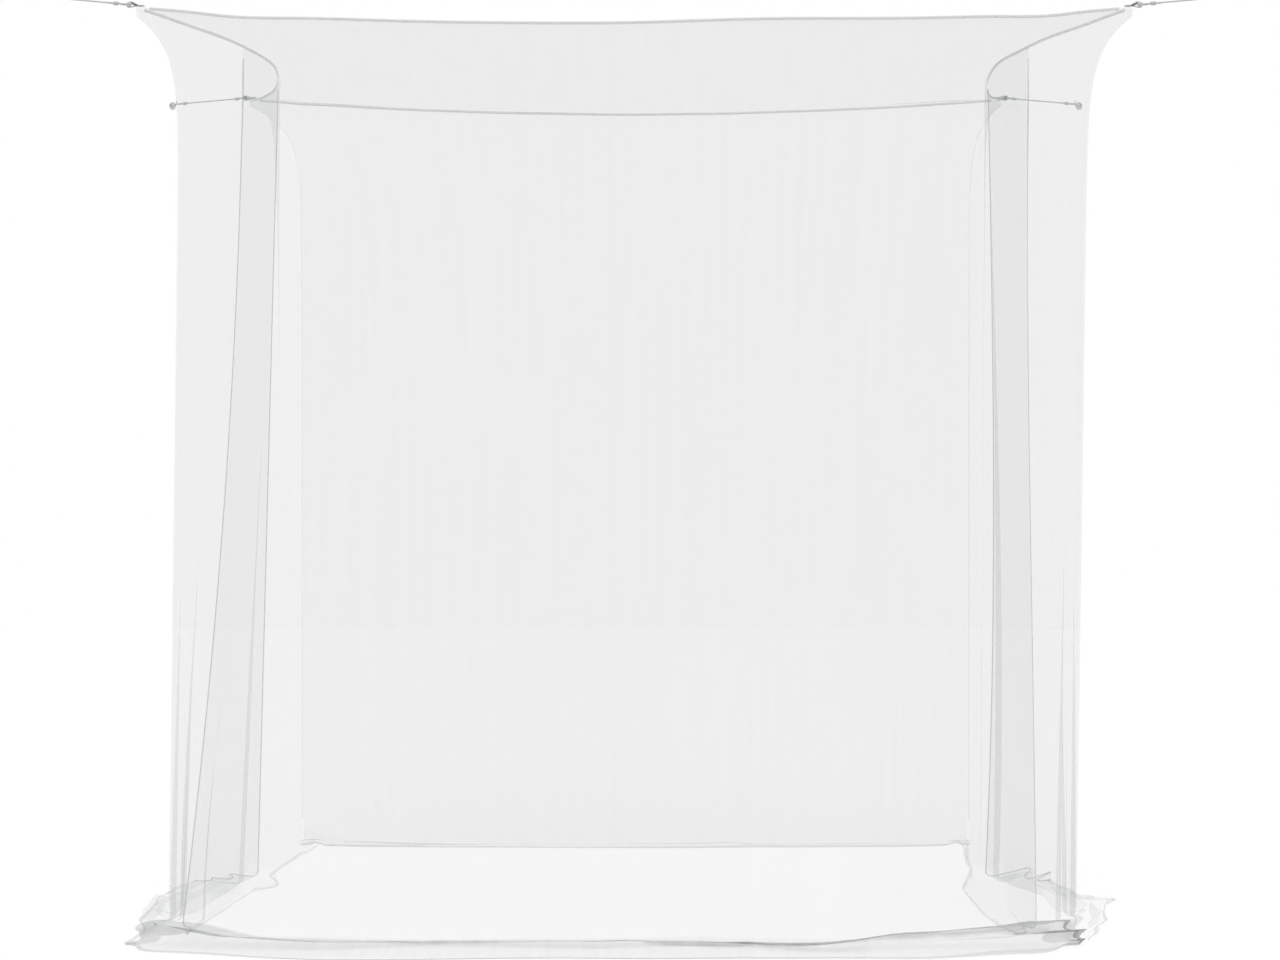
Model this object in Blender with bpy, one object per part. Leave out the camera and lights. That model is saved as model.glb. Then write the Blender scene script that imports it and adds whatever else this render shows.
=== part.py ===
"""Hanging mosquito net: a rectangular canopy of fine netting, tied out at four corners.

The net hangs from four cords. Its roof is a sheet that the cords pull to four points,
so that every roof edge bows inwards and sags. Four walls hang from the roof and their
surplus lies on the floor. Each side wall is two panels that overlap: the front panel
lies outside and the rear panel inside. The lower free corner of each panel is a flap
that folds back along a slanting line, from the top of its free edge down to the floor.

Units are metres. X runs to the right, Y to the back and Z up. The origin is on the
floor under the middle of the net.
"""

import math

import bpy
from mathutils import Matrix, Vector

# Size of the roof, between its corner points
ROOF_WIDTH = 1.97
ROOF_DEPTH = 2.15

# How the roof hangs between its corner points
CORNER_HEIGHT = 1.855
BACK_CORNER_DROP = 0.012
BACK_CORNER_INSET = 0.059
BACK_CORNER_LEAN = -0.025
END_BOW = 0.12
LEFT_BOW = 0.190
RIGHT_BOW = 0.172
SIDE_BOW_PLACE = 0.38
FRONT_SAG = 0.022
BACK_SAG = 0.045
SIDE_SAG = 0.042
MIDDLE_SAG = 0.006

# Where the walls stand on the floor, measured in from the roof's corner points
FRONT_FOOT_INSET = 0.083
BACK_FOOT_INSET = 0.165
FRONT_FOOT_SETBACK = 0.035
BACK_FOOT_SETBACK = 0.045
FOOT_BOW = 0.012
FRONT_FOOT_LEAN = -0.024
CORNER_SETTLE = 0.060
MIDDLE_SETTLE = 0.300

# Cloth and trim thicknesses, drawn thicker than netting so that each piece is a solid
CLOTH_THICKNESS = 0.0015
TRIM_THICKNESS = 0.0024
ROOF_BINDING_THICKNESS = 0.0020
SEAM_GAP = 0.0006
HEM_WIDTH = 0.011
EDGE_BINDING_WIDTH = 0.010
ROOF_BINDING_WIDTH = 0.009
ROOF_BINDING_RISE = 0.002
END_BINDING_GAP = 0.0007
SIDE_BINDING_GAP = 0.0013
STRAIGHT_UNDER_SEAM = 0.016
WALL_TOP_DROP = 0.0014
CORNER_SEAM_MARGIN = 0.0020
CORNER_SEAM_WIDTH = 0.005
CORNER_SEAM_THICKNESS = 0.0012

# Surplus cloth on the floor
FLOOR_BEND_RADIUS = 0.040
FRONT_POOL_RUN_LEFT = 0.270
FRONT_POOL_RUN_RIGHT = 0.130
BACK_POOL_RUN = 0.035
FRONT_PANEL_POOL_RUN = 0.120
REAR_PANEL_POOL_RUN = 0.035
POOL_RIDGE = 0.014
POOL_RIDGE_RUN = 0.150

# Folds in the hanging cloth
WALL_FOLD_DEPTH = 0.012
PANEL_FOLD_DEPTH = 0.006

# Overlapping side panels, as places along the net's depth
FRONT_PANEL_EDGE_Y = 0.00
FRONT_PANEL_FOLD_FOOT_Y = -0.70
FRONT_PANEL_EDGE_FOOT_Y = 0.15
REAR_PANEL_EDGE_Y = -0.606
REAR_PANEL_FOLD_FOOT_Y = 0.00
REAR_PANEL_EDGE_FOOT_Y = -0.93
REAR_PANEL_FLARE = 2.0
OVERLAP_GAP_TOP = 0.0040
OVERLAP_GAP_LOW = 0.030
FOLD_LINE_GAP = 0.0005
FOLD_AXIS_OFFSET = 0.0012
PANEL_POOL_SLANT = 0.30
FLAP_POOL_SLANT = 1.60

# Corner tabs, cords and wall hooks
TAB_WIDTH = 0.012
TAB_THICKNESS = 0.0012
TAB_SEWN_LENGTH = 0.014
TAB_LOOP_RADIUS = 0.006
TAB_LOOP_REACH = 0.016
TAB_CLEARANCE = 0.0004
CORD_DIAMETER = 0.003
CORD_PLANE_RISE = 0.004
FRONT_CORD_REACH = 0.400
BACK_CORD_REACH = 0.305
CORD_STRAND_OFFSET = 0.0021
EYE_LENGTH = 0.030
TAB_EYE_RADIUS = 0.0100
HOOK_EYE_RADIUS = 0.0066
SHORT_END = 0.012
KNOT_LENGTH = 0.014
KNOT_RADIUS = 0.0042
HOOK_PLATE_RADIUS = 0.010
HOOK_PLATE_THICKNESS = 0.0025
HOOK_WIRE_RADIUS = 0.0016
HOOK_STEM = 0.008
HOOK_BEND_RADIUS = 0.007
HOOK_TIP_RISE = 0.006
CORD_CLEARANCE = 0.0005

FLOOR_Z = TRIM_THICKNESS / 2
HALF_WIDTH = ROOF_WIDTH / 2
HALF_DEPTH = ROOF_DEPTH / 2
FRONT_FOOT_HALF_WIDTH = HALF_WIDTH - FRONT_FOOT_INSET
BACK_FOOT_HALF_WIDTH = HALF_WIDTH - BACK_FOOT_INSET
FRONT_FOOT_Y = HALF_DEPTH - FRONT_FOOT_SETBACK
BACK_FOOT_Y = HALF_DEPTH - BACK_FOOT_SETBACK

# Rows of every hanging cloth: shares of its hanging height, the turn onto the floor,
# and shares of its run over the floor
HANG_ROWS = (0.0, 0.035, 0.09, 0.18, 0.34, 0.56, 0.80, 1.0)
BEND_ROWS = (45.0, 90.0)
POOL_ROWS = (0.33, 0.67, 1.0)


# Shares of the side edges at which the roof, the side panels and the bindings all meet.
# They crowd towards the corners, where the edge bends most.
SIDE_SHARES = (
    *(0.0, 0.02, 0.05, 0.09, 0.135, 0.18, 0.225, 0.28, 0.34, 0.41, 0.50),
    *(0.60, 0.70, 0.79, 0.86, 0.91, 0.95, 0.98, 1.0),
)


def clear_scene():
    for obj in list(bpy.data.objects):
        bpy.data.objects.remove(obj, do_unlink=True)


def material(name, colour, roughness, metallic=0.0):
    made = bpy.data.materials.new(name)
    made.use_nodes = True
    shader = made.node_tree.nodes["Principled BSDF"]
    shader.inputs["Base Color"].default_value = (*colour, 1.0)
    shader.inputs["Roughness"].default_value = roughness
    shader.inputs["Metallic"].default_value = metallic
    return made


def lerp(a, b, share):
    return a + (b - a) * share


def hump(share):
    """0 at both ends of an edge and 1 in its middle."""
    return 4.0 * share * (1.0 - share)


def smooth(share):
    share = min(1.0, max(0.0, share))
    return share * share * (3.0 - 2.0 * share)


# Solids from surfaces


def surface_object(name, grid, thickness, finish):
    """A closed sheet: the grid is its middle surface, and Solidify gives it its thickness."""
    columns = len(grid[0])
    points = [point for row in grid for point in row]
    faces = []
    for row in range(len(grid) - 1):
        for column in range(columns - 1):
            first = row * columns + column
            faces.append((first, first + columns, first + columns + 1, first + 1))
    mesh = bpy.data.meshes.new(name)
    mesh.from_pydata(points, [], faces)
    mesh.materials.append(finish)
    mesh.shade_smooth()
    obj = bpy.data.objects.new(name, mesh)
    bpy.context.scene.collection.objects.link(obj)
    solidify = obj.modifiers.new("thickness", "SOLIDIFY")
    solidify.thickness = thickness
    solidify.offset = 0.0
    return obj


def pull_in(grid_line, neighbour, distance):
    """Moves each point of a grid line towards its neighbour by a fixed distance."""
    return [
        point + (beside - point).normalized() * distance
        for point, beside in zip(grid_line, neighbour)
    ]


def column_of(grid, index):
    return [row[index] for row in grid]


def with_column(grid, index, points):
    return [
        [points[number] if place == index % len(row) else old for place, old in enumerate(row)]
        for number, row in enumerate(grid)
    ]


def sewn_pieces(name, grid, cloth, trim, bound_edge):
    """Makes a cloth with a hem in its last row and, if asked, a binding in its last column."""
    if bound_edge:
        binding = [list(row[-2:]) for row in grid]
        inner = pull_in(column_of(binding, 0), column_of(binding, 1), SEAM_GAP)
        surface_object(f"{name}_binding", with_column(binding, 0, inner), TRIM_THICKNESS, trim)
        grid = [row[:-1] for row in grid]
    hem_inner = pull_in(grid[-2], grid[-1], SEAM_GAP)
    surface_object(f"{name}_hem", [hem_inner, grid[-1]], TRIM_THICKNESS, trim)
    surface_object(name, grid[:-1], CLOTH_THICKNESS, cloth)


# The roof's four edges


def corner(side, end):
    """A corner point of the roof. side is -1 left or 1 right; end is -1 front or 1 back."""
    point = Vector((side * HALF_WIDTH, end * HALF_DEPTH, CORNER_HEIGHT))
    if end > 0:
        point.x += BACK_CORNER_LEAN - side * BACK_CORNER_INSET
        point.z -= BACK_CORNER_DROP
    return point


def end_edge(end, share):
    """A point of the front or back roof edge, from left to right."""
    point = lerp(corner(-1, end), corner(1, end), share)
    point.y -= end * END_BOW * hump(share)
    point.z -= (FRONT_SAG if end < 0 else BACK_SAG) * hump(share)
    return point


def side_edge(side, share):
    """A point of the left or right roof edge, from front to back."""
    point = lerp(corner(side, -1), corner(side, 1), share)
    if share < SIDE_BOW_PLACE:
        bow = 1.0 - (1.0 - share / SIDE_BOW_PLACE) ** 2
    else:
        bow = 1.0 - (1.0 - (1.0 - share) / (1.0 - SIDE_BOW_PLACE)) ** 1.5
    point.x -= side * (LEFT_BOW if side < 0 else RIGHT_BOW) * bow
    point.z -= SIDE_SAG * hump(share)
    return point


def share_of_y(y):
    return (y + HALF_DEPTH) / ROOF_DEPTH


def roof_point(across, along):
    """A point of the roof, filled in between its four edges."""
    ends = lerp(end_edge(-1, across), end_edge(1, across), along)
    sides = lerp(side_edge(-1, along), side_edge(1, along), across)
    corners = lerp(
        lerp(corner(-1, -1), corner(1, -1), across),
        lerp(corner(-1, 1), corner(1, 1), across),
        along,
    )
    point = ends + sides - corners
    point.z -= MIDDLE_SAG * hump(across) * hump(along)
    return point


# Cloth that hangs and then lies on the floor


def foot_lean(y):
    """The cloth hangs a little to one side, most of all at the front."""
    share = (BACK_FOOT_Y - y) / (BACK_FOOT_Y + FRONT_FOOT_Y)
    return Vector((FRONT_FOOT_LEAN * share, 0.0, 0.0))


def foot_corner(side, end):
    half = FRONT_FOOT_HALF_WIDTH if end < 0 else BACK_FOOT_HALF_WIDTH
    y = -FRONT_FOOT_Y if end < 0 else BACK_FOOT_Y
    return Vector((side * half, y, 0.0)) + foot_lean(y)


def settled(drop, settle):
    """How far the cloth has moved from the roof's edge to its place over the foot, 0 to 1."""
    return 1.0 - math.exp(-drop / settle)


def hanging_column(top, foot, out, fold, pool_run, ridge, weight, rows=HANG_ROWS):
    """One line of cloth from just under the roof's edge to the hem.

    top is on the roof's edge and foot is where the cloth meets the floor. out is the
    direction in which the surplus lies, fold is how far a fold pushes the line that
    way, and weight gives the share of the way from top to foot at each hanging row.
    """
    start = top.z - STRAIGHT_UNDER_SEAM
    end = FLOOR_BEND_RADIUS + FLOOR_Z
    lean = foot_lean(foot.y)
    points = []
    for row in rows:
        height = lerp(start, end, row)
        place = lerp(top, foot - lean, weight(row, start - height)) + lean * row
        place += out * fold * row**1.2
        points.append(Vector((place.x, place.y, height)))
    base = foot + out * fold
    for angle in BEND_ROWS:
        turn = math.radians(angle)
        place = base + out * FLOOR_BEND_RADIUS * (1.0 - math.cos(turn))
        height = end - FLOOR_BEND_RADIUS * math.sin(turn)
        points.append(Vector((place.x, place.y, height)))
    ridge *= min(1.0, pool_run / POOL_RIDGE_RUN)
    for row in POOL_ROWS:
        place = base + out * (FLOOR_BEND_RADIUS + pool_run * row)
        height = FLOOR_Z + ridge * math.sin(math.pi * row) ** 2
        points.append(Vector((place.x, place.y, height)))
    hem = base + out * (FLOOR_BEND_RADIUS + pool_run + HEM_WIDTH)
    points.append(Vector((hem.x, hem.y, FLOOR_Z)))
    return points


def sewn_column(top, *args):
    """A hanging column that starts straight below its seam with the roof."""
    return [top - Vector((0.0, 0.0, WALL_TOP_DROP))] + hanging_column(top, *args)


def grid_from_columns(columns):
    return [list(row) for row in zip(*columns)]


def fan(near_start, near_end, outward, along):
    """The direction of the surplus: straight out, and turned to the diagonal at a corner."""
    direction = outward - along * near_start + along * near_end
    return direction.normalized()


def end_wall_grid(end):
    """The whole front or back wall."""
    count = 20
    outward = Vector((0.0, end, 0.0))
    margin = CORNER_SEAM_MARGIN / ROOF_WIDTH
    columns = []
    for number in range(count + 1):
        share = lerp(margin, 1.0 - margin, number / count)
        foot = lerp(foot_corner(-1, end), foot_corner(1, end), share)
        foot.y -= end * FOOT_BOW * hump(share)
        run = BACK_POOL_RUN
        if end < 0:
            run = lerp(FRONT_POOL_RUN_LEFT, FRONT_POOL_RUN_RIGHT, smooth(share))
        near_start = smooth(1.0 - share / 0.22)
        near_end = smooth(1.0 - (1.0 - share) / 0.22)
        out = fan(near_start, near_end, outward, Vector((1.0, 0.0, 0.0)))
        edge_share = 1.0 - abs(2.0 * share - 1.0)
        envelope = smooth(edge_share / 0.12) * (1.0 - 0.75 * smooth(edge_share / 0.7))
        fold = WALL_FOLD_DEPTH * envelope * math.sin(2.0 * math.pi * 4.5 * share)
        ridge = POOL_RIDGE * (0.7 + 0.3 * math.cos(2.0 * math.pi * 3.0 * share + end))
        settle = lerp(CORNER_SETTLE, MIDDLE_SETTLE, smooth(edge_share / 0.5))
        columns.append(
            sewn_column(
                end_edge(end, share),
                foot,
                out,
                fold,
                run * (1.0 - 0.25 * max(near_start, near_end)),
                ridge,
                lambda row, drop, settle=settle: settled(drop, settle),
            )
        )
    return grid_from_columns(columns)


def side_foot(side, y):
    """Where a side wall meets the floor at this depth."""
    share = (y + FRONT_FOOT_Y) / (FRONT_FOOT_Y + BACK_FOOT_Y)
    point = lerp(foot_corner(side, -1), foot_corner(side, 1), share)
    point.x -= side * FOOT_BOW * hump(share)
    return point


class PanelPlan:
    """The layout of one side panel: its corner, its free edge and its fold line."""

    def __init__(self, side, end):
        front = end < 0
        self.side = side
        self.end = end
        self.sheet_out = Vector((side if front else -side, 0.0, 0.0))
        self.edge_y = FRONT_PANEL_EDGE_Y if front else REAR_PANEL_EDGE_Y
        self.fold_foot_y = FRONT_PANEL_FOLD_FOOT_Y if front else REAR_PANEL_FOLD_FOOT_Y
        self.edge_foot_y = FRONT_PANEL_EDGE_FOOT_Y if front else REAR_PANEL_EDGE_FOOT_Y
        self.flare = 1.0 if front else REAR_PANEL_FLARE
        self.run = FRONT_PANEL_POOL_RUN if front else REAR_PANEL_POOL_RUN
        self.towards_edge = Vector((0.0, -end, 0.0))
        self.apex = self.top_at(share_of_y(self.edge_y))
        self.fold_foot = self.inset_low(side_foot(side, self.fold_foot_y))
        self.edge_foot = self.inset_low(side_foot(side, self.edge_foot_y))
        self.corner_foot = foot_corner(side, end)

    def top_at(self, share):
        """On the roof's edge; the rear panel lies just inside the front panel there."""
        point = side_edge(self.side, share)
        if self.end > 0:
            point.x -= self.side * OVERLAP_GAP_TOP * self.inside_share(point.y)
        return point

    def inset_low(self, point):
        """Over the floor; the rear panel lies a hand's thickness inside the front panel."""
        moved = point.copy()
        if self.end > 0:
            moved.x -= self.side * OVERLAP_GAP_LOW * self.inside_share(point.y)
        return moved

    def inside_share(self, y):
        """1 where the rear panel overlaps the front panel, 0 at the back corner."""
        return smooth((BACK_FOOT_Y - y) / (BACK_FOOT_Y - FRONT_PANEL_EDGE_Y - 0.1))


def fold_weight(share, settle, flare=1.0):
    """From the cloth's free hang to a straight line, as share goes from 0 to 1."""

    def weight(row, drop):
        straight = row**flare
        return lerp(settled(drop, settle), straight, share)

    return weight


def panel_shares(corner_share, apex_share):
    """Places of a panel's columns, from 0 at its corner to 1 at its free edge."""
    low, high = sorted((corner_share, apex_share))
    inside = [share for share in SIDE_SHARES if low + 0.01 < share < high - 0.01]
    places = [low, *inside, high]
    return sorted((place - corner_share) / (apex_share - corner_share) for place in places)


def panel_grid(plan):
    """The sewn part of a side panel, from its corner to its fold line."""
    corner_share = 0.0 if plan.end < 0 else 1.0
    apex_share = share_of_y(plan.edge_y)
    margin = CORNER_SEAM_MARGIN / ROOF_DEPTH
    start = corner_share - plan.end * margin
    corner_out = (Vector((plan.side, plan.end, 0.0))).normalized()
    columns = []
    for share in panel_shares(corner_share, apex_share):
        top = plan.top_at(lerp(start, apex_share, share))
        foot = lerp(plan.corner_foot, plan.fold_foot, share)
        if share == 0.0:
            foot = foot + plan.towards_edge * CORNER_SEAM_MARGIN
        if plan.end < 0:
            out = lerp(corner_out, plan.sheet_out, smooth(share / 0.8)).normalized()
            run = plan.run
        else:
            out = plan.sheet_out
            run = plan.run * (0.45 + 0.55 * smooth(share))
        slant = PANEL_POOL_SLANT * smooth(share) ** 2
        out = (out + plan.towards_edge * slant).normalized() * math.sqrt(1.0 + slant**2)
        envelope = smooth(share / 0.15) * smooth((1.0 - share) / 0.35)
        fold = PANEL_FOLD_DEPTH * envelope * math.sin(2.0 * math.pi * 2.5 * share)
        settle = lerp(CORNER_SETTLE, MIDDLE_SETTLE, smooth(share / 0.5))
        columns.append(
            sewn_column(
                top,
                foot,
                out,
                fold,
                run,
                POOL_RIDGE * (0.6 + 0.4 * math.sin(5.0 * share)),
                fold_weight(share**3 if plan.end < 0 else smooth(share / 0.55), settle),
            )
        )
    grid = grid_from_columns(columns)
    return trimmed_at_fold(plan, grid, -1)


def flap_grid(plan):
    """The free corner of a side panel, from its fold line to its bound edge."""
    count = 7
    width = (plan.edge_foot - plan.fold_foot).length
    columns = []
    shares = [number / count for number in range(count + 1)]
    shares.append(1.0 + EDGE_BINDING_WIDTH / width)
    for share in shares:
        foot = lerp(plan.fold_foot, plan.edge_foot, share)
        slant = FLAP_POOL_SLANT * (1.0 - smooth(share)) ** 2
        out = plan.sheet_out + plan.towards_edge * slant
        envelope = smooth(share / 0.4) * max(0.0, 1.0 - share)
        fold = 2.0 * PANEL_FOLD_DEPTH * envelope * math.sin(2.0 * math.pi * 1.5 * share)
        columns.append(
            hanging_column(
                plan.apex,
                foot,
                out,
                fold,
                plan.run,
                POOL_RIDGE * (0.6 + 0.4 * math.sin(5.0 - 5.0 * share)),
                fold_weight(1.0, MIDDLE_SETTLE, lerp(1.0, plan.flare, min(1.0, share))),
                rows=HANG_ROWS[1:],
            )
        )
    grid = grid_from_columns(columns)
    grid = bound_columns(plan, grid)
    return trimmed_at_fold(plan, grid, 0)


def bound_columns(plan, grid):
    """Sets the last column a binding's width from the one before it, along each row."""
    rows = []
    for row in grid:
        across = row[-2] - row[len(row) // 2]
        along = (across + plan.towards_edge * 2.0 * EDGE_BINDING_WIDTH).normalized()
        rows.append(row[:-1] + [row[-2] + along * EDGE_BINDING_WIDTH])
    return rows


def fold_axis(plan):
    """The fold line as a point near the floor and a direction up to the apex.

    It runs along the face that closes on itself, so that the fold needs no gap.
    """
    foot = plan.fold_foot + plan.sheet_out * FOLD_AXIS_OFFSET
    foot.z = FLOOR_BEND_RADIUS + FLOOR_Z
    top = plan.apex + plan.sheet_out * FOLD_AXIS_OFFSET
    top.z -= STRAIGHT_UNDER_SEAM
    return foot, (top - foot).normalized()


def trimmed_at_fold(plan, grid, index):
    """Draws the edge at the fold line back by half of the fold's gap."""
    sign = 1.0 if index == 0 else -1.0
    shift = plan.towards_edge * sign * FOLD_LINE_GAP / 2
    points = [point + shift for point in column_of(grid, index)]
    return with_column(grid, index, points)


# Trim along the roof's edges


def roof_binding(name, edge, shares, inward, gap, trim):
    """A tape that stands outside the seam between the roof and a wall."""
    start = 0.014
    inside = [share for share in shares if start + 0.003 < share < 1.0 - start - 0.003]
    upper, lower = [], []
    for share in (start, *inside, 1.0 - start):
        outside = (ROOF_BINDING_THICKNESS + CLOTH_THICKNESS) / 2 + gap
        point = edge(share) - inward * outside
        upper.append(point + Vector((0.0, 0.0, ROOF_BINDING_RISE)))
        lower.append(point + Vector((0.0, 0.0, ROOF_BINDING_RISE - ROOF_BINDING_WIDTH)))
    surface_object(name, [upper, lower], ROOF_BINDING_THICKNESS, trim)


def corner_seam(name, side, end, trim):
    """A tape down the outside of a corner, over the seam between two walls."""
    out = Vector((side, end, 0.0)).normalized()
    across = Vector((-out.y, out.x, 0.0))
    line = sewn_column(
        corner(side, end),
        foot_corner(side, end),
        out,
        0.0,
        0.0,
        0.0,
        lambda row, drop: settled(drop, CORNER_SETTLE),
    )
    line = line[: len(HANG_ROWS) + 1]
    half = across * CORNER_SEAM_WIDTH / 2
    offset = out * (CORNER_SEAM_THICKNESS / 2 + SEAM_GAP)
    grid = [[point + offset - half, point + offset + half] for point in line]
    surface_object(name, grid, CORNER_SEAM_THICKNESS, trim)


# Corner tabs, cords and hooks, all laid out along the diagonal of their corner


class CornerFrame:
    """Local axes of one corner: out along the diagonal, across it, and up."""

    def __init__(self, side, end):
        self.origin = corner(side, end)
        self.out = Vector((side, end, 0.0)).normalized()
        self.across = Vector((-self.out.y, self.out.x, 0.0))
        self.reach = FRONT_CORD_REACH if end < 0 else BACK_CORD_REACH

    def at(self, out, across, up):
        return self.origin + self.out * out + self.across * across + Vector((0.0, 0.0, up))


def corner_tab(name, frame, tape):
    """A tape sewn flat on the roof's corner, with a loop that stands past its point."""
    sewn_low = CLOTH_THICKNESS + TAB_CLEARANCE + TAB_THICKNESS / 2
    sewn_high = sewn_low + TAB_THICKNESS + TAB_CLEARANCE
    middle = CORD_PLANE_RISE
    profile = [(-TAB_SEWN_LENGTH, sewn_low), (0.002, sewn_low)]
    for angle in range(-70, 71, 20):
        turn = math.radians(angle)
        profile.append(
            (
                TAB_LOOP_REACH + TAB_LOOP_RADIUS * math.cos(turn),
                middle + TAB_LOOP_RADIUS * math.sin(turn),
            )
        )
    profile += [(0.002, sewn_high), (-TAB_SEWN_LENGTH, sewn_high)]
    half = TAB_WIDTH / 2
    grid = [[frame.at(out, -half, up), frame.at(out, half, up)] for out, up in profile]
    surface_object(name, grid, TAB_THICKNESS, tape)


def tab_crossing():
    """How far out the cord's round eye crosses inside the tab's loop, clear of its edges."""
    wall = TAB_LOOP_REACH + TAB_LOOP_RADIUS - TAB_THICKNESS / 2
    inner = TAB_EYE_RADIUS - CORD_DIAMETER / 2 - CORD_CLEARANCE
    return wall - TAB_EYE_RADIUS + math.sqrt(inner**2 - (TAB_WIDTH / 2) ** 2)


def hook_crossing(frame):
    """How far out the cord crosses behind the hook's wire, where the wire slopes."""
    inner = math.sqrt(HOOK_BEND_RADIUS**2 - (HOOK_BEND_RADIUS - CORD_PLANE_RISE) ** 2)
    wire = frame.reach - HOOK_STEM - inner
    beside = HOOK_WIRE_RADIUS + CORD_DIAMETER / 2 + CORD_CLEARANCE
    return wire + beside * HOOK_BEND_RADIUS / inner


def eye_route(radius):
    """An eye of the cord in its own plane, from its short end to the standing part.

    Distances run from the crossing towards the middle of the cord. The eye is a half
    circle that narrows smoothly to the knot.
    """
    side = []
    for step in range(5):
        share = step / 4
        across = lerp(CORD_STRAND_OFFSET, radius, smooth(share))
        side.append((lerp(EYE_LENGTH, radius, share), across))
    turn = []
    for angle in (60, 30, 0, -30, -60):
        across = radius * math.sin(math.radians(angle))
        turn.append((radius * (1.0 - math.cos(math.radians(angle))), across))
    knot_end = EYE_LENGTH + KNOT_LENGTH
    short = [(knot_end + SHORT_END, CORD_STRAND_OFFSET * 1.5), (knot_end, CORD_STRAND_OFFSET)]
    back = [(along, -across) for along, across in reversed(side)]
    return short + side + turn + back + [(knot_end, -CORD_STRAND_OFFSET)]


def standing_part(start, end):
    """The taut cord between its knots, from one side of the first knot to the second's."""
    span = end - start
    count = max(6, round(span / (3.0 * CORD_DIAMETER)))
    points = []
    for step in range(1, count):
        share = step / count
        away = smooth(min(share, 1.0 - share) * span / 0.03)
        across = CORD_STRAND_OFFSET * (1.0 - away) * (-1.0 if share < 0.5 else 1.0)
        points.append((lerp(start, end, share), across))
    return points


def corner_cord(name, frame, cord):
    """A cord with an eye through the tab and an eye over the hook, each with a knot."""
    tab = tab_crossing()
    hook = hook_crossing(frame)
    tab_knot = tab + EYE_LENGTH
    hook_knot = hook - EYE_LENGTH - KNOT_LENGTH
    route = [(tab + along, across) for along, across in eye_route(TAB_EYE_RADIUS)]
    route += standing_part(tab_knot + KNOT_LENGTH, hook_knot)
    hook_eye = eye_route(HOOK_EYE_RADIUS)
    route += [(hook - along, -across) for along, across in reversed(hook_eye)]
    curve = bpy.data.curves.new(name, "CURVE")
    curve.dimensions = "3D"
    curve.bevel_depth = CORD_DIAMETER / 2
    curve.bevel_resolution = 2
    curve.use_fill_caps = True
    spline = curve.splines.new("POLY")
    spline.points.add(len(route) - 1)
    for place, (out, across) in zip(spline.points, route):
        place.co = (*frame.at(out, across, CORD_PLANE_RISE), 1.0)
    shape = bpy.data.objects.new(name, curve)
    bpy.context.scene.collection.objects.link(shape)
    mesh = bpy.data.meshes.new_from_object(shape.evaluated_get(bpy.context.evaluated_depsgraph_get()))
    bpy.data.objects.remove(shape)
    mesh.materials.clear()
    mesh.materials.append(cord)
    obj = bpy.data.objects.new(name, mesh)
    bpy.context.scene.collection.objects.link(obj)
    for number, along in enumerate((tab_knot, hook_knot)):
        bpy.ops.mesh.primitive_uv_sphere_add(segments=8, ring_count=6, radius=1.0)
        knot = bpy.context.object
        knot.name = f"{name}_knot_{number + 1}"
        stretch = Matrix.Diagonal((KNOT_LENGTH / 2, KNOT_RADIUS, KNOT_RADIUS, 1.0))
        turn = frame.out.to_track_quat("X", "Z").to_matrix().to_4x4()
        place = Matrix.Translation(frame.at(along + KNOT_LENGTH / 2, 0.0, CORD_PLANE_RISE))
        knot.data.transform(place @ turn @ stretch)
        knot.hide_render = True
        knot.display_type = "WIRE"
        union = obj.modifiers.new(f"knot_{number + 1}", "BOOLEAN")
        union.operation = "UNION"
        union.object = knot


def wall_hook(name, frame, metal):
    """A round plate with a wire hook that turns up; the plate's back lies on the wall."""
    bpy.ops.mesh.primitive_cylinder_add(
        vertices=32,
        radius=HOOK_PLATE_RADIUS,
        depth=HOOK_PLATE_THICKNESS,
        location=frame.at(frame.reach + HOOK_PLATE_THICKNESS / 2, 0.0, 0.0),
        rotation=frame.out.to_track_quat("Z", "Y").to_euler(),
    )
    plate = bpy.context.object
    plate.name = name
    plate.data.materials.append(metal)
    path = [(frame.reach + HOOK_PLATE_THICKNESS / 2, 0.0)]
    for angle in range(0, 91, 18):
        turn = math.radians(angle)
        path.append(
            (
                frame.reach - HOOK_STEM - HOOK_BEND_RADIUS * math.sin(turn),
                HOOK_BEND_RADIUS * (1.0 - math.cos(turn)),
            )
        )
    tip_out = frame.reach - HOOK_STEM - HOOK_BEND_RADIUS
    path.append((tip_out + 0.001, HOOK_BEND_RADIUS + HOOK_TIP_RISE))
    rings = []
    sides = 8
    for number, (out, up) in enumerate(path):
        before = path[max(0, number - 1)]
        after = path[min(len(path) - 1, number + 1)]
        along = Vector((after[0] - before[0], after[1] - before[1])).normalized()
        ring = []
        for side in range(sides):
            angle = 2.0 * math.pi * side / sides
            across = HOOK_WIRE_RADIUS * math.cos(angle)
            lift = HOOK_WIRE_RADIUS * math.sin(angle)
            ring.append(frame.at(out - along.y * lift, across, up + along.x * lift))
        rings.append(ring)
    wire = tube_object(f"{name}_wire", rings)
    union = plate.modifiers.new("wire", "BOOLEAN")
    union.operation = "UNION"
    union.object = wire


def tube_object(name, rings):
    """A closed tube through rings of points, kept as a helper for a Boolean."""
    sides = len(rings[0])
    points = [point for ring in rings for point in ring]
    faces = [tuple(range(sides)), tuple(reversed(range(len(points) - sides, len(points))))]
    for number in range(len(rings) - 1):
        for side in range(sides):
            first = number * sides + side
            beside = number * sides + (side + 1) % sides
            faces.append((first, first + sides, beside + sides, beside))
    mesh = bpy.data.meshes.new(name)
    mesh.from_pydata(points, [], faces)
    obj = bpy.data.objects.new(name, mesh)
    bpy.context.scene.collection.objects.link(obj)
    obj.hide_render = True
    obj.display_type = "WIRE"
    return obj


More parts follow.
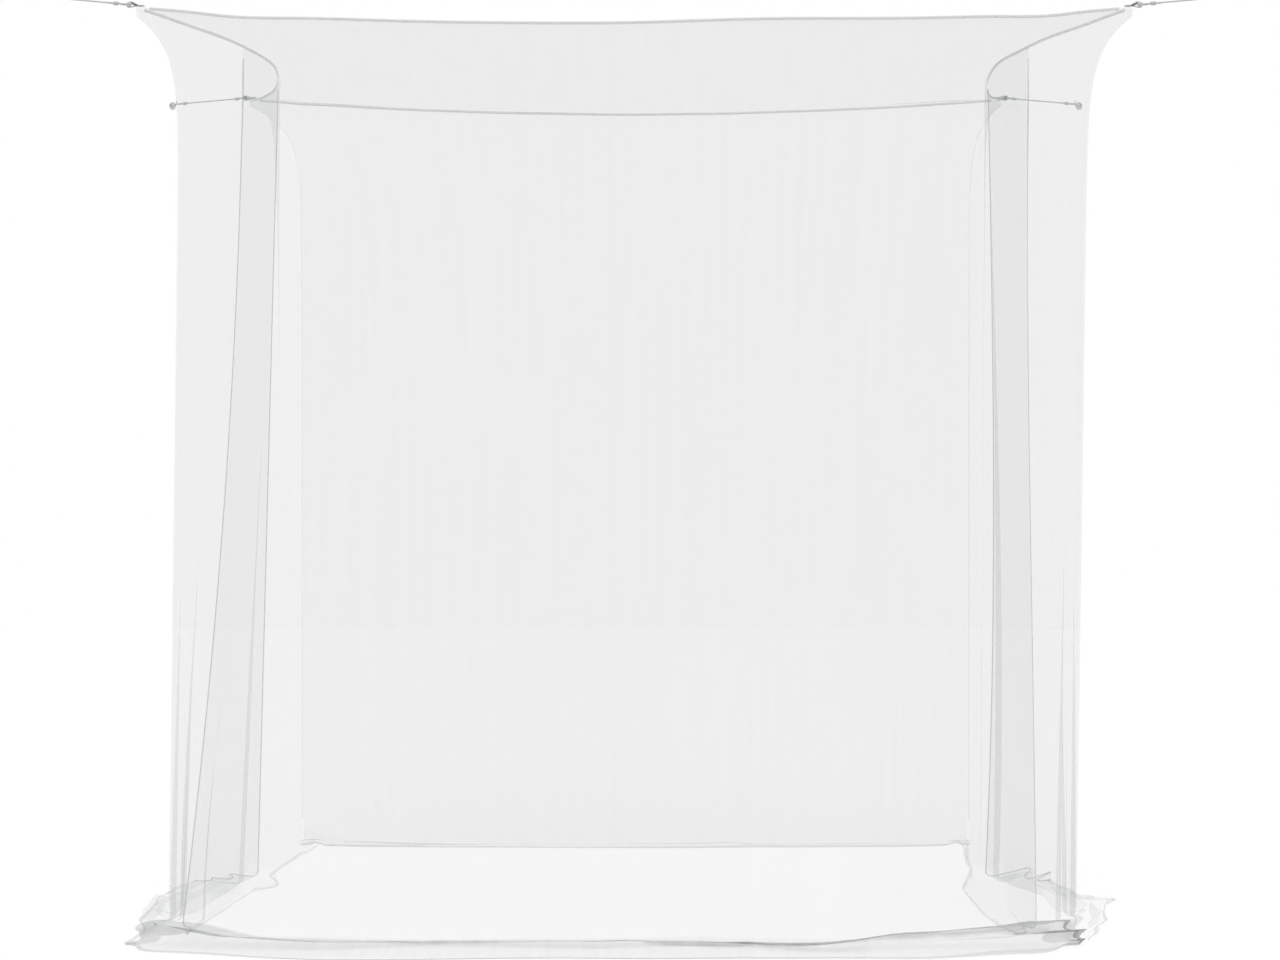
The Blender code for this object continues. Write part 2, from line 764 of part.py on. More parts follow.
def roof_panel(cloth):
    count = 10
    margin = SEAM_GAP / ROOF_WIDTH
    grid = []
    for along in SIDE_SHARES:
        row = []
        for across in range(count + 1):
            point = roof_point(
                lerp(margin, 1.0 - margin, across / count),
                lerp(margin, 1.0 - margin, along),
            )
            point.z += CLOTH_THICKNESS / 2
            row.append(point)
        grid.append(row)
    surface_object("roof_panel", grid, CLOTH_THICKNESS, cloth)


def centre_on_floor():
    """Moves everything so that the origin is under the middle of the net itself."""
    net = [
        obj
        for obj in bpy.data.objects
        if not obj.hide_render and not obj.name.startswith(("corner_cord", "wall_hook"))
    ]
    lows = [min(v.co[axis] for obj in net for v in obj.data.vertices) for axis in (0, 1)]
    highs = [max(v.co[axis] for obj in net for v in obj.data.vertices) for axis in (0, 1)]
    shift = Vector((-(lows[0] + highs[0]) / 2, -(lows[1] + highs[1]) / 2, 0.0))
    for obj in bpy.data.objects:
        obj.location += shift
    print(f"moved by {tuple(shift)}")


def build():
    clear_scene()
    cloth = material("white_netting", (0.90, 0.91, 0.91), 0.85)
    trim = material("white_tape", (0.82, 0.83, 0.83), 0.80)
    cord = material("white_cord", (0.80, 0.81, 0.81), 0.75)
    metal = material("nickel_plate", (0.72, 0.72, 0.70), 0.30, 1.0)

    roof_panel(cloth)
    for end, name in ((-1, "front"), (1, "back")):
        sewn_pieces(f"{name}_wall", end_wall_grid(end), cloth, trim, bound_edge=False)
        inward = Vector((0.0, -end, 0.0))
        roof_binding(
            f"roof_binding_{name}",
            lambda share, end=end: end_edge(end, share),
            [number / 22 for number in range(23)],
            inward,
            END_BINDING_GAP,
            trim,
        )
    for side, side_name in ((-1, "left"), (1, "right")):
        inward = Vector((-side, 0.0, 0.0))
        roof_binding(
            f"roof_binding_{side_name}",
            lambda share, side=side: side_edge(side, share),
            SIDE_SHARES,
            inward,
            SIDE_BINDING_GAP,
            trim,
        )
        for end, end_name in ((-1, "front"), (1, "rear")):
            plan = PanelPlan(side, end)
            name = f"{side_name}_{end_name}"
            sewn_pieces(f"{name}_panel", panel_grid(plan), cloth, trim, bound_edge=False)
            sewn_pieces(f"{name}_flap", flap_grid(plan), cloth, trim, bound_edge=True)
            foot, direction = fold_axis(plan)
            print(f"{name} fold line through {tuple(foot)} along {tuple(direction)}")
            frame = CornerFrame(side, end)
            place = f"{'front' if end < 0 else 'back'}_{side_name}"
            corner_seam(f"corner_seam_{place}", side, end, trim)
            corner_tab(f"corner_tab_{place}", frame, trim)
            corner_cord(f"corner_cord_{place}", frame, cord)
            wall_hook(f"wall_hook_{place}", frame, metal)
    centre_on_floor()


build()
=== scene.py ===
# Hanging mosquito net, dressed for rendering. Lengths are in metres.
import math

import bpy
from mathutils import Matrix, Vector, noise


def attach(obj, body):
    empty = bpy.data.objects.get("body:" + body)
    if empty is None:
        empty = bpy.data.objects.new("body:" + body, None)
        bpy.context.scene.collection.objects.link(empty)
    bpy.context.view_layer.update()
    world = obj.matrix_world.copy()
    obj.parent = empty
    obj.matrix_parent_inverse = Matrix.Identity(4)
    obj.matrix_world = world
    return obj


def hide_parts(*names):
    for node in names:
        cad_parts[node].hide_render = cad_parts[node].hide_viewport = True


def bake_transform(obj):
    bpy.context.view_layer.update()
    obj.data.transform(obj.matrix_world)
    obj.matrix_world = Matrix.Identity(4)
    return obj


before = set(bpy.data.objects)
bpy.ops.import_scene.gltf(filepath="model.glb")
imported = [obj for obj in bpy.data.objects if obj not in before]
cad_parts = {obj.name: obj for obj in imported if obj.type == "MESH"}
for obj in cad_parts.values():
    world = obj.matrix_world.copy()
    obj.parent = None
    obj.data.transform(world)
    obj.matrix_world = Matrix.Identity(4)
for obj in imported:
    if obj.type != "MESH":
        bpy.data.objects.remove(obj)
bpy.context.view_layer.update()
scene = bpy.context.scene
print("frame loaded,", len(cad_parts), "CAD nodes")

# camera at the photograph's height and distance
cameraPlan = {"place": (0.0406, -9.6485, 0.986), "tiltDown": 0.445, "lens": 123.2}


def makeCamera(plan):
    data = bpy.data.cameras.new("photoCamera")
    data.lens = plan["lens"]
    data.sensor_width = 36.0
    data.clip_end = 100.0
    camera = bpy.data.objects.new("photoCamera", data)
    camera.location = plan["place"]
    camera.rotation_euler = (math.radians(90.0 - plan["tiltDown"]), 0.0, 0.0)
    scene.collection.objects.link(camera)
    scene.camera = camera


makeCamera(cameraPlan)
print("camera set")


# small sums that every piece uses
def between(a, b, share):
    return a + (b - a) * share


def smooth(share):
    share = min(1.0, max(0.0, share))
    return share * share * (3.0 - 2.0 * share)


def hump(share):
    return 4.0 * share * (1.0 - share)


def bell(value, middle, width):
    return math.exp(-((value - middle) / width) ** 2)


# Soft noise that wanders over the floor or along an edge
def drift(place, scale, seed):
    return noise.noise(Vector((place[0] * scale, place[1] * scale, seed)))


# shape of the hung net, by the same rules as the solids
netPlan = {
    "shift": (0.029629, 0.111522),  # from the roof's middle to the net's middle
    "roofWidth": 1.97, "roofDepth": 2.15, "cornerHeight": 1.855,
    "backDrop": 0.012, "backInset": 0.059, "backLean": -0.025,
    "endBow": 0.12, "leftBow": 0.190, "rightBow": 0.172, "bowPlace": 0.38,
    "frontSag": 0.022, "backSag": 0.045, "sideSag": 0.042, "middleSag": 0.006,
    "frontFootHalf": 0.902, "backFootHalf": 0.820, "frontFootY": 1.040, "backFootY": 1.030,
    "footBow": 0.012, "footLean": -0.024, "cornerSettle": 0.060, "middleSettle": 0.300,
    "floor": 0.0010, "bend": 0.008, "seamDrop": 0.016,
    # waves of the roof's edges; the front ones are (height, middle, width)
    "frontWaves": [(-0.006, 0.10, 0.06), (0.002, 0.40, 0.10), (0.010, 0.63, 0.14),
                   (-0.006, 0.92, 0.05)],
    "backWaves": 0.003, "sideWaves": 0.004,
    "overlapTop": 0.0040,  # how far the rear panel's top lies inside the front one's
    "underRoof": 0.0014,  # how far the walls start under the roof's edge
    "columnMargin": 0.0020,  # space between a sheet's side and its corner
    "axisFoot": 0.0412,  # height of the fold line's lower end
    "bendWidth": 0.06,  # of cloth that bends at a fold line
    "flapTop": 0.0015,  # how wide each flap is at its top
}
halfWidth = netPlan["roofWidth"] / 2
halfDepth = netPlan["roofDepth"] / 2
netMiddle = Vector((*netPlan["shift"], 0.0))
up = Vector((0.0, 0.0, 1.0))
sideNames = {-1: "left", 1: "right"}
endNames = {-1: "front", 1: "back"}


# Outwards at a corner, and square to that
def cornerWays(side, end):
    out = Vector((side, end, 0.0)).normalized()
    return out, Vector((-out.y, out.x, 0.0))


def roofCorner(side, end):
    point = Vector((side * halfWidth, end * halfDepth, netPlan["cornerHeight"]))
    if end > 0:
        point.x += netPlan["backLean"] - side * netPlan["backInset"]
        point.z -= netPlan["backDrop"]
    return point


# Front or back roof edge, left to right
def endEdge(end, share):
    point = between(roofCorner(-1, end), roofCorner(1, end), share)
    point.y -= end * netPlan["endBow"] * hump(share)
    point.z -= (netPlan["frontSag"] if end < 0 else netPlan["backSag"]) * hump(share)
    ripple = smooth(min(share, 1.0 - share) / 0.10)
    if end < 0:
        waves = sum(height * bell(share, middle, width)
                    for height, middle, width in netPlan["frontWaves"])
    else:
        waves = netPlan["backWaves"] * drift((share, end), 9.0, 2.0)
    point.z += ripple * waves
    return point


# Left or right roof edge, front to back
def sideEdge(side, share):
    point = between(roofCorner(side, -1), roofCorner(side, 1), share)
    place = netPlan["bowPlace"]
    if share < place:
        bow = 1.0 - (1.0 - share / place) ** 2
    else:
        bow = 1.0 - (1.0 - (1.0 - share) / (1.0 - place)) ** 1.5
    point.x -= side * bow * (netPlan["leftBow"] if side < 0 else netPlan["rightBow"])
    point.z -= netPlan["sideSag"] * hump(share)
    ripple = smooth(min(share, 1.0 - share) / 0.10)
    point.z += ripple * netPlan["sideWaves"] * drift((share, side), 7.0, 5.0)
    return point


def roofPoint(across, along):
    ends = between(endEdge(-1, across), endEdge(1, across), along)
    sides = between(sideEdge(-1, along), sideEdge(1, along), across)
    corners = between(between(roofCorner(-1, -1), roofCorner(1, -1), across),
                      between(roofCorner(-1, 1), roofCorner(1, 1), across), along)
    point = ends + sides - corners
    point.z -= netPlan["middleSag"] * hump(across) * hump(along)
    return point


# The cloth hangs a little to the left, most of all at the front
def footLean(y):
    share = (netPlan["backFootY"] - y) / (netPlan["backFootY"] + netPlan["frontFootY"])
    return Vector((netPlan["footLean"] * share, 0.0, 0.0))


def footCorner(side, end):
    half = netPlan["frontFootHalf"] if end < 0 else netPlan["backFootHalf"]
    y = -netPlan["frontFootY"] if end < 0 else netPlan["backFootY"]
    return Vector((side * half, y, 0.0)) + footLean(y)


def settled(drop, settle):
    return 1.0 - math.exp(-drop / settle)


# rows of the cloth's mesh: closer together near the roof, even over the floor
rowPlan = {"hanging": 54, "closer": 1.25, "lying": 72}
hangRows = [(n / rowPlan["hanging"]) ** rowPlan["closer"] for n in range(rowPlan["hanging"] + 1)]
poolRows = [n / rowPlan["lying"] for n in range(1, rowPlan["lying"] + 1)]

# how the cloth folds where it lies
foldPlan = {
    "tallest": 0.040, "least": 0.005, "fullFoldReach": 0.12,
    "firstFoldReach": 0.28, "firstFoldPlace": 0.036, "firstFoldWidth": 0.017,
    "creaseHeight": 0.004, "upright": 0.42, "firstUpright": 0.16,
}


# How the surplus folds over the floor at this place along the hem. What it doesn't need
# to reach the hem stands up in folds, which then lie over, outwards or inwards.
def poolShape(foot, reach, pile, plan):
    place = (foot.x, foot.y)
    seed = plan["seed"]
    spare = max(0.0, plan["surplus"] - abs(reach)) / (2.0 * plan["turns"])
    tall = 0.45 + 0.9 * smooth(0.5 + 1.2 * drift(place, 2.2, seed + 8.0))
    tall *= min(1.0, 0.30 + abs(reach) / foldPlan["fullFoldReach"])
    first = 0.55 + 0.8 * smooth(0.5 + 1.5 * drift(place, 1.9, seed + 6.0))
    return {
        "turns": plan["turns"],
        "phase": 2.6 * drift(place, 1.3, seed) + 0.8 * drift(place, 3.7, seed + 2.0),
        "steep": 0.55 + 0.30 * smooth(0.5 + drift(place, 2.3, seed + 4.0)),
        "fold": min(foldPlan["tallest"], foldPlan["least"] + 1.05 * spare) * tall,
        "firstFold": plan["firstFold"] * first,
        "pile": pile * (0.8 + 0.4 * smooth(0.5 + drift(place, 3.1, seed + 12.0))),
        "ruffle": 1.0 + 0.10 * drift(place, 2.6, seed + 16.0),
        "lean": 0.9 + 0.9 * drift(place, 2.2, seed + 20.0),
        "seed": seed,
    }


# A sharp crest that wanders over the floor, like a pinched fold
def creaseAt(place, scale, seed):
    wander = (place[0] + 0.05 * drift(place, 7.0, seed + 1.0),
              place[1] + 0.05 * drift(place, 7.0, seed + 2.0))
    return max(0.0, 1.0 - 3.2 * abs(drift(wander, scale, seed))) ** 2


# A point of the surplus, share 0 where it meets the floor and 1 at its hem
def poolPoint(base, out, reach, shape, share):
    turn = 2.0 * math.pi * shape["turns"]
    angle = turn * share + shape["phase"]
    fade = smooth(share / 0.10) * smooth((1.0 - share) / 0.10 + 0.10)
    run = reach * share + shape["steep"] * reach / turn * fade * math.sin(angle)
    tall = shape["fold"] * fade * (0.5 - 0.5 * math.cos(angle)) ** 1.5 * (1.0 - 0.3 * share)
    first = shape["firstFold"] * min(1.0, max(0.0, reach) / foldPlan["firstFoldReach"])
    first *= bell(share * reach, foldPlan["firstFoldPlace"], foldPlan["firstFoldWidth"])
    run += shape["lean"] * tall + 1.5 * first
    bend = netPlan["bend"] * max(0.0, 1.0 - share * abs(reach) / netPlan["bend"]) ** 2
    point = base + out * run * shape["ruffle"]
    place = (point.x, point.y)
    crease = foldPlan["creaseHeight"] * creaseAt(place, 2.6, shape["seed"] + 30.0)
    crease *= smooth(share / 0.10) * (0.15 + 0.85 * smooth((1.0 - share) / 0.25))
    point.z = netPlan["floor"] + bend + shape["pile"] * (1.0 - share) ** 1.4
    point.z += foldPlan["upright"] * tall + foldPlan["firstUpright"] * first + crease
    point.z = max(netPlan["floor"], point.z)
    return point


# One line of cloth as points, from the seam under the roof to the floor and on to the hem
def clothLine(top, foot, out, fold, reach, pile, weight, pool):
    shape = poolShape(foot, reach, pile, pool)
    lean = footLean(foot.y)
    start = top.z - netPlan["seamDrop"]
    end = netPlan["floor"] + netPlan["bend"] + shape["pile"]
    points = [top.copy()]
    for row in hangRows:
        height = between(start, end, row)
        place = between(top, foot - lean, weight(row, start - height)) + lean * row
        place += fold(row)
        place.z = height
        points.append(place)
    for share in poolRows:
        base = foot + fold(1.0) * (1.0 - smooth(share / 0.45))
        points.append(poolPoint(base, out, reach, shape, share))
    return points


def turned(lines):
    return [list(row) for row in zip(*lines)]


# thin closed sheets with a UV map in metres
clothPlan = {"thickness": 0.0005, "tape": 0.0011}


def runLengths(points):
    total, lengths = 0.0, [0.0]
    for before, after in zip(points, points[1:]):
        total += (after - before).length
        lengths.append(total)
    return lengths


# grid[row][column], moved from the roof's middle to the net's. The flat map has its width
# from the row a third of the way down.
def makeSheet(name, grid, thickness, finish, flip=False):
    rows, columns = len(grid), len(grid[0])
    widest = runLengths(grid[len(grid) // 3])
    drops = [runLengths([row[column] for row in grid]) for column in range(columns)]
    points = [point + netMiddle for row in grid for point in row]
    faces = []
    for row in range(rows - 1):
        for column in range(columns - 1):
            first = row * columns + column
            face = (first, first + columns, first + columns + 1, first + 1)
            faces.append(face[::-1] if flip else face)
    mesh = bpy.data.meshes.new(name)
    mesh.from_pydata(points, [], faces)
    uv = mesh.uv_layers.new(name="flatCloth")
    for loop in mesh.loops:
        row, column = divmod(loop.vertex_index, columns)
        uv.data[loop.index].uv = (widest[column], drops[column][row])
    mesh.materials.append(finish)
    mesh.shade_smooth()
    sheet = bpy.data.objects.new(name, mesh)
    scene.collection.objects.link(sheet)
    solidify = sheet.modifiers.new("thickness", "SOLIDIFY")
    solidify.thickness = thickness
    solidify.offset = 0.0
    solidify.use_even_offset = False
    return bakeModifiers(sheet)


# Turns what the modifiers make into the object's own mesh
def bakeModifiers(thing):
    evaluated = thing.evaluated_get(bpy.context.evaluated_depsgraph_get())
    mesh = bpy.data.meshes.new_from_object(evaluated)
    mesh.name = thing.name
    thing.modifiers.clear()
    thing.data = mesh
    return thing


def areaOf(grid):
    total = 0.0
    for above, below in zip(grid, grid[1:]):
        for a, b, c, d in zip(above, above[1:], below, below[1:]):
            total += ((b - a).cross(c - a)).length / 2 + ((d - b).cross(d - c)).length / 2
    return total


# nodes: a socket that adds Math nodes when it is used in a sum
class Value:
    def __init__(self, nodes, socket):
        self.nodes = nodes
        self.socket = socket

    def __add__(self, other):
        return self.nodes.maths("ADD", self, other)

    def __sub__(self, other):
        return self.nodes.maths("SUBTRACT", self, other)

    def __rsub__(self, other):
        return self.nodes.maths("SUBTRACT", other, self)

    def __mul__(self, other):
        return self.nodes.maths("MULTIPLY", self, other)

    def __truediv__(self, other):
        return self.nodes.maths("DIVIDE", self, other)

    def __rtruediv__(self, other):
        return self.nodes.maths("DIVIDE", other, self)

    __radd__ = __add__
    __rmul__ = __mul__

    def sine(self):
        return self.nodes.maths("SINE", self)

    def cosine(self):
        return self.nodes.maths("COSINE", self)

    def atLeast(self, other):
        return self.nodes.maths("MAXIMUM", self, other)

    def clamped(self, low, high):
        return self.nodes.maths("MINIMUM", self.atLeast(low), high)


class Nodes:
    def __init__(self, tree):
        self.tree = tree

    def add(self, kind, inputs=None, **settings):
        node = self.tree.nodes.new(kind)
        for name, value in settings.items():
            setattr(node, name, value)
        for name, value in (inputs or {}).items():
            self.join(value, node.inputs[name])
        return node

    def join(self, value, socket):
        if isinstance(value, Value):
            value = value.socket
        if isinstance(value, bpy.types.NodeSocket):
            self.tree.links.new(value, socket)
        else:
            socket.default_value = value

    def maths(self, operation, *values):
        node = self.add("ShaderNodeMath", dict(enumerate(values)), operation=operation)
        return Value(self, node.outputs[0])

    # 1 where the camera, a mirror or glass looks, 0 in all other light
    def seen(self):
        path = self.add("ShaderNodeLightPath")
        camera = Value(self, path.outputs["Is Camera Ray"])
        glossy = camera.atLeast(path.outputs["Is Glossy Ray"])
        return glossy.atLeast(path.outputs["Is Transmission Ray"])

    # Sends a mix of two shaders to the tree's output
    def mixShaders(self, share, first, second, output):
        mix = self.add("ShaderNodeMixShader", {0: share, 1: first.outputs[0],
                                               2: second.outputs[0]})
        self.join(mix.outputs[0], self.tree.nodes[output].inputs["Surface"])


class Finish(Nodes):
    def __init__(self, name):
        self.material = bpy.data.materials.new(name)
        self.material.use_nodes = True
        super().__init__(self.material.node_tree)
        self.shader = self.tree.nodes["Principled BSDF"]

    def flat(self):
        return self.add("ShaderNodeUVMap", uv_map="flatCloth").outputs["UV"]

    def spot(self):
        return self.add("ShaderNodeTexCoord").outputs["Object"]

    def parts(self, vector):
        node = self.add("ShaderNodeSeparateXYZ", {"Vector": vector})
        return [Value(self, socket) for socket in node.outputs]

    def grain(self, vector, scale, detail=2.0):
        node = self.add("ShaderNodeTexNoise", {"Vector": vector, "Scale": scale, "Detail": detail})
        return Value(self, node.outputs[0])

    def mixed(self, share, low, high):
        node = self.add("ShaderNodeMix", {0: share, 6: (*low, 1.0), 7: (*high, 1.0)},
                        data_type="RGBA")
        return Value(self, node.outputs[2])

    def bump(self, height, distance, strength=1.0):
        node = self.add("ShaderNodeBump", {"Height": height, "Distance": distance,
                                           "Strength": strength})
        self.join(node.outputs["Normal"], self.shader.inputs["Normal"])

    def set(self, **values):
        names = {"colour": "Base Color", "roughness": "Roughness", "metallic": "Metallic",
                 "alpha": "Alpha", "gloss": "Specular IOR Level"}
        for name, value in values.items():
            self.join(value, self.shader.inputs[names[name]])
        return self.material


nettingLook = {
    "cover": 0.071,  # share of light that each face of the sheet stops
    "mesh": 0.0016, "meshShare": 0.30, "cloudShare": 0.16, "streakShare": 0.22,
    "streaks": (46.0, 1.3, 1.0),  # across, down
    # how much closer the cloth lies on the floor, between these lengths down the sheet
    "floorDrop": 1.835, "floorRun": 0.20,
    "gather": {"frontWall": 2.6, "backWall": 0.2, "panels": -0.50},
    # base colours of the one white netting, each darkened by painted shade as much as its side is
    # shaded in the light
    "shadedTones": {"frontWall": 0.51, "backWall": 0.36, "roofSheet": 0.27,
              "leftFrontPanel": 0.66, "leftRearPanel": 0.80,
              "rightFrontPanel": 0.64, "rightRearPanel": 0.52},
}


# Fine knitted netting: three sets of threads cross at 60 degrees, each hole 1.6 mm wide.
# It gathers where it lies on the floor, and each piece's colour is painted shade: the white
# netting darkened as much as its side is shaded in the light.
def nettingFinish(plan, name):
    finish = Finish(name + "Netting")
    shadedTone = plan["shadedTones"][name]
    flat = finish.flat()
    across, down = finish.parts(flat)[:2]
    pitch = 2.0 * math.pi / plan["mesh"]
    threads = (across * pitch).cosine()
    for turn in (60.0, 120.0):
        lean = math.radians(turn)
        line = across * (pitch * math.cos(lean)) + down * (pitch * math.sin(lean))
        threads = threads + line.cosine()
    threads = threads / 3.0
    cloudy = finish.grain(flat, 2.3, 3.0)
    stretched = finish.add("ShaderNodeVectorMath", {0: flat, 1: plan["streaks"]},
                           operation="MULTIPLY")
    streaks = finish.grain(stretched.outputs[0], 1.0)
    cover = (cloudy - 0.5) * plan["cloudShare"] + (streaks - 0.5) * plan["streakShare"]
    cover = cover + threads * plan["meshShare"] + 1.0
    if name != "roofSheet":
        gather = plan["gather"].get(name, plan["gather"]["panels"])
        lying = ((down - plan["floorDrop"]) / 0.03).clamped(0.0, 1.0)
        past = down - plan["floorDrop"] - plan["floorRun"]
        lying = lying - (past / 0.05).clamped(0.0, 0.8)
        cover = cover + lying * (streaks * 0.8 + 0.6) * gather
    colour = finish.mixed((cloudy + streaks) * 0.5, (shadedTone * 0.93, shadedTone * 0.98, shadedTone * 0.96),
                          (shadedTone * 1.03, shadedTone * 1.07, shadedTone * 1.05))
    finish.bump(threads, 0.0002, 0.35)
    roughness = cloudy * 0.10 + 0.82
    return finish.set(colour=colour, roughness=roughness, alpha=cover * plan["cover"], gloss=0.15)


tapeLook = {"dark": (0.52, 0.545, 0.535), "light": (0.62, 0.64, 0.63),
            "rib": 0.0011, "cover": 0.30}
threadLook = {"dark": (0.72, 0.74, 0.73), "light": (0.82, 0.84, 0.83),
              "rib": 0.0006, "cover": 0.25}


# Woven binding tape with a fine diagonal rib
def tapeFinish(plan, name="wovenTape"):
    finish = Finish(name)
    flat = finish.flat()
    across, down = finish.parts(flat)[:2]
    pitch = 2.0 * math.pi / plan["rib"]
    rib = ((across + down) * pitch).sine() * 0.5 + 0.5
    grain = finish.grain(flat, 220.0)
    worn = finish.grain(flat, 9.0)
    colour = finish.mixed(rib * 0.4 + grain * 0.3 + worn * 0.3, plan["dark"], plan["light"])
    finish.bump(rib, 0.00012, 0.6)
    return finish.set(colour=colour, roughness=grain * 0.12 + 0.76, alpha=plan["cover"], gloss=0.2)


cordLook = {"dark": (0.46, 0.48, 0.48), "light": (0.66, 0.68, 0.68), "lay": 0.0034}


# Braided cord: two sets of strands wind round it in opposite directions
def cordFinish(plan):
    finish = Finish("braidedCord")
    flat = finish.flat()
    along, turns = finish.parts(flat)[:2]
    winding = along * (2.0 * math.pi / plan["lay"])
    turning = turns * (4.0 * math.pi)
    strands = (winding + turning).sine().atLeast((winding - turning).sine()) * 0.5 + 0.5
    grain = finish.grain(flat, 160.0)
    colour = finish.mixed(strands * 0.75 + grain * 0.25, plan["dark"], plan["light"])
    finish.bump(strands, 0.00025, 0.8)
    return finish.set(colour=colour, roughness=grain * 0.1 + 0.74, gloss=0.2)


nickelLook = {"dark": (0.50, 0.50, 0.485), "light": (0.74, 0.74, 0.72)}


# Nickel plate, a little dull, with fine marks
def nickelFinish(plan):
    finish = Finish("nickelPlate")
    spot = finish.spot()
    marks = finish.grain(spot, 900.0, 3.0)
    clouds = finish.grain(spot, 60.0)
    colour = finish.mixed(clouds, plan["dark"], plan["light"])
    finish.bump(marks, 0.00002, 0.3)
    return finish.set(colour=colour, roughness=marks * 0.12 + clouds * 0.14 + 0.20, metallic=1.0)


# Tape on the CAD's own tabs, which have no flat map
def tabFinish(plan):
    finish = Finish("tabTape")
    spot = finish.spot()
    x, y, z = finish.parts(spot)
    pitch = 2.0 * math.pi / plan["rib"]
    rib = ((x + y + z) * pitch).sine() * 0.5 + 0.5
    grain = finish.grain(spot, 300.0)
    colour = finish.mixed(rib * 0.5 + grain * 0.5, plan["dark"], plan["light"])
    finish.bump(rib, 0.00012, 0.6)
    return finish.set(colour=colour, roughness=grain * 0.12 + 0.76, gloss=0.2)


netting = {name: nettingFinish(nettingLook, name) for name in nettingLook["shadedTones"]}
tape = tapeFinish(tapeLook)
rolledHem = tapeFinish({**tapeLook, "cover": 0.12}, "rolledHem")
sideHem = tapeFinish({**tapeLook, "cover": 0.07}, "sideHem")
seamTape = tapeFinish({**tapeLook, "cover": 0.05}, "seamTape")
thread = tapeFinish(threadLook, "sewingThread")
cordMaterial = cordFinish(cordLook)
nickel = nickelFinish(nickelLook)
tabMaterial = tabFinish(tapeLook)
print("materials made")


# corner cords: each ties a corner to its hook, with an eye and a knot at both ends
cordPlan = {
    "diameter": 0.003, "rise": 0.004, "frontReach": 0.400, "backReach": 0.305,
    "strand": 0.0021, "eyeLength": 0.030, "tabEye": 0.0100, "hookEye": 0.0066,
    "shortEnd": 0.012, "knotLength": 0.014,
    "knotTurns": 3.25, "knotSpan": (0.13, 0.87), "knotWide": 0.0036, "knotFlat": 0.72,
    "knotStrand": 0.00142,
    "tabReach": 0.016, "tabLoop": 0.006, "tabThickness": 0.0012, "tabWidth": 0.012,
    "hookStem": 0.008, "hookBend": 0.007, "hookWire": 0.0016, "clear": 0.0005,
}


# An eye in the cord's own plane, from its short end to the standing part
def eyeRoute(radius):
    plan = cordPlan
    side = []
    for step in range(7):
        share = step / 6
        side.append((between(plan["eyeLength"], radius, share),
                     between(plan["strand"], radius, smooth(share))))
    turn = []
    for angle in (67.5, 45, 22.5, 0, -22.5, -45, -67.5):
        lean = math.radians(angle)
        turn.append((radius * (1.0 - math.cos(lean)), radius * math.sin(lean)))
    knotEnd = plan["eyeLength"] + plan["knotLength"]
    short = [(knotEnd + plan["shortEnd"], plan["strand"] * 1.5), (knotEnd, plan["strand"])]
    back = [(along, -across) for along, across in reversed(side)]
    return short + side + turn + back + [(knotEnd, -plan["strand"])]


def standingPart(start, end):
    span = end - start
    count = max(6, round(span / 0.009))
    points = []
    for step in range(1, count):
        share = step / count
        away = smooth(min(share, 1.0 - share) * span / 0.03)
        across = cordPlan["strand"] * (1.0 - away) * (-1.0 if share < 0.5 else 1.0)
        points.append((between(start, end, share), across))
    return points


# A closed tube along points, with a flat map of metres along and turns round
def makeTube(name, points, radius, finish, sides=12):
    rings, lengths = [], runLengths(points)
    normal = None
    for number, point in enumerate(points):
        before = points[max(0, number - 1)]
        after = points[min(len(points) - 1, number + 1)]
        along = (after - before).normalized()
        if normal is None:
            normal = along.orthogonal().normalized()
        normal = (normal - along * normal.dot(along)).normalized()
        other = along.cross(normal)
        rings.append([point + (normal * math.cos(2 * math.pi * k / sides)
                               + other * math.sin(2 * math.pi * k / sides)) * radius
                      for k in range(sides)])
    vertices = [vertex for ring in rings for vertex in ring]
    faces, flat = [], []
    for ring in range(len(rings) - 1):
        for k in range(sides):
            first, beside = ring * sides + k, ring * sides + (k + 1) % sides
            faces.append((first, beside, beside + sides, first + sides))
            flat += [(lengths[ring], k / sides), (lengths[ring], (k + 1) / sides),
                     (lengths[ring + 1], (k + 1) / sides), (lengths[ring + 1], k / sides)]
    faces.append(tuple(reversed(range(sides))))
    faces.append(tuple(range(len(vertices) - sides, len(vertices))))
    flat += [(0.0, k / sides) for k in range(2 * sides)]
    mesh = bpy.data.meshes.new(name)
    mesh.from_pydata(vertices, [], faces)
    uv = mesh.uv_layers.new(name="flatCloth")
    for place, value in enumerate(flat):
        uv.data[place].uv = value
    mesh.materials.append(finish)
    mesh.shade_smooth()
    tube = bpy.data.objects.new(name, mesh)
    scene.collection.objects.link(tube)
    return tube


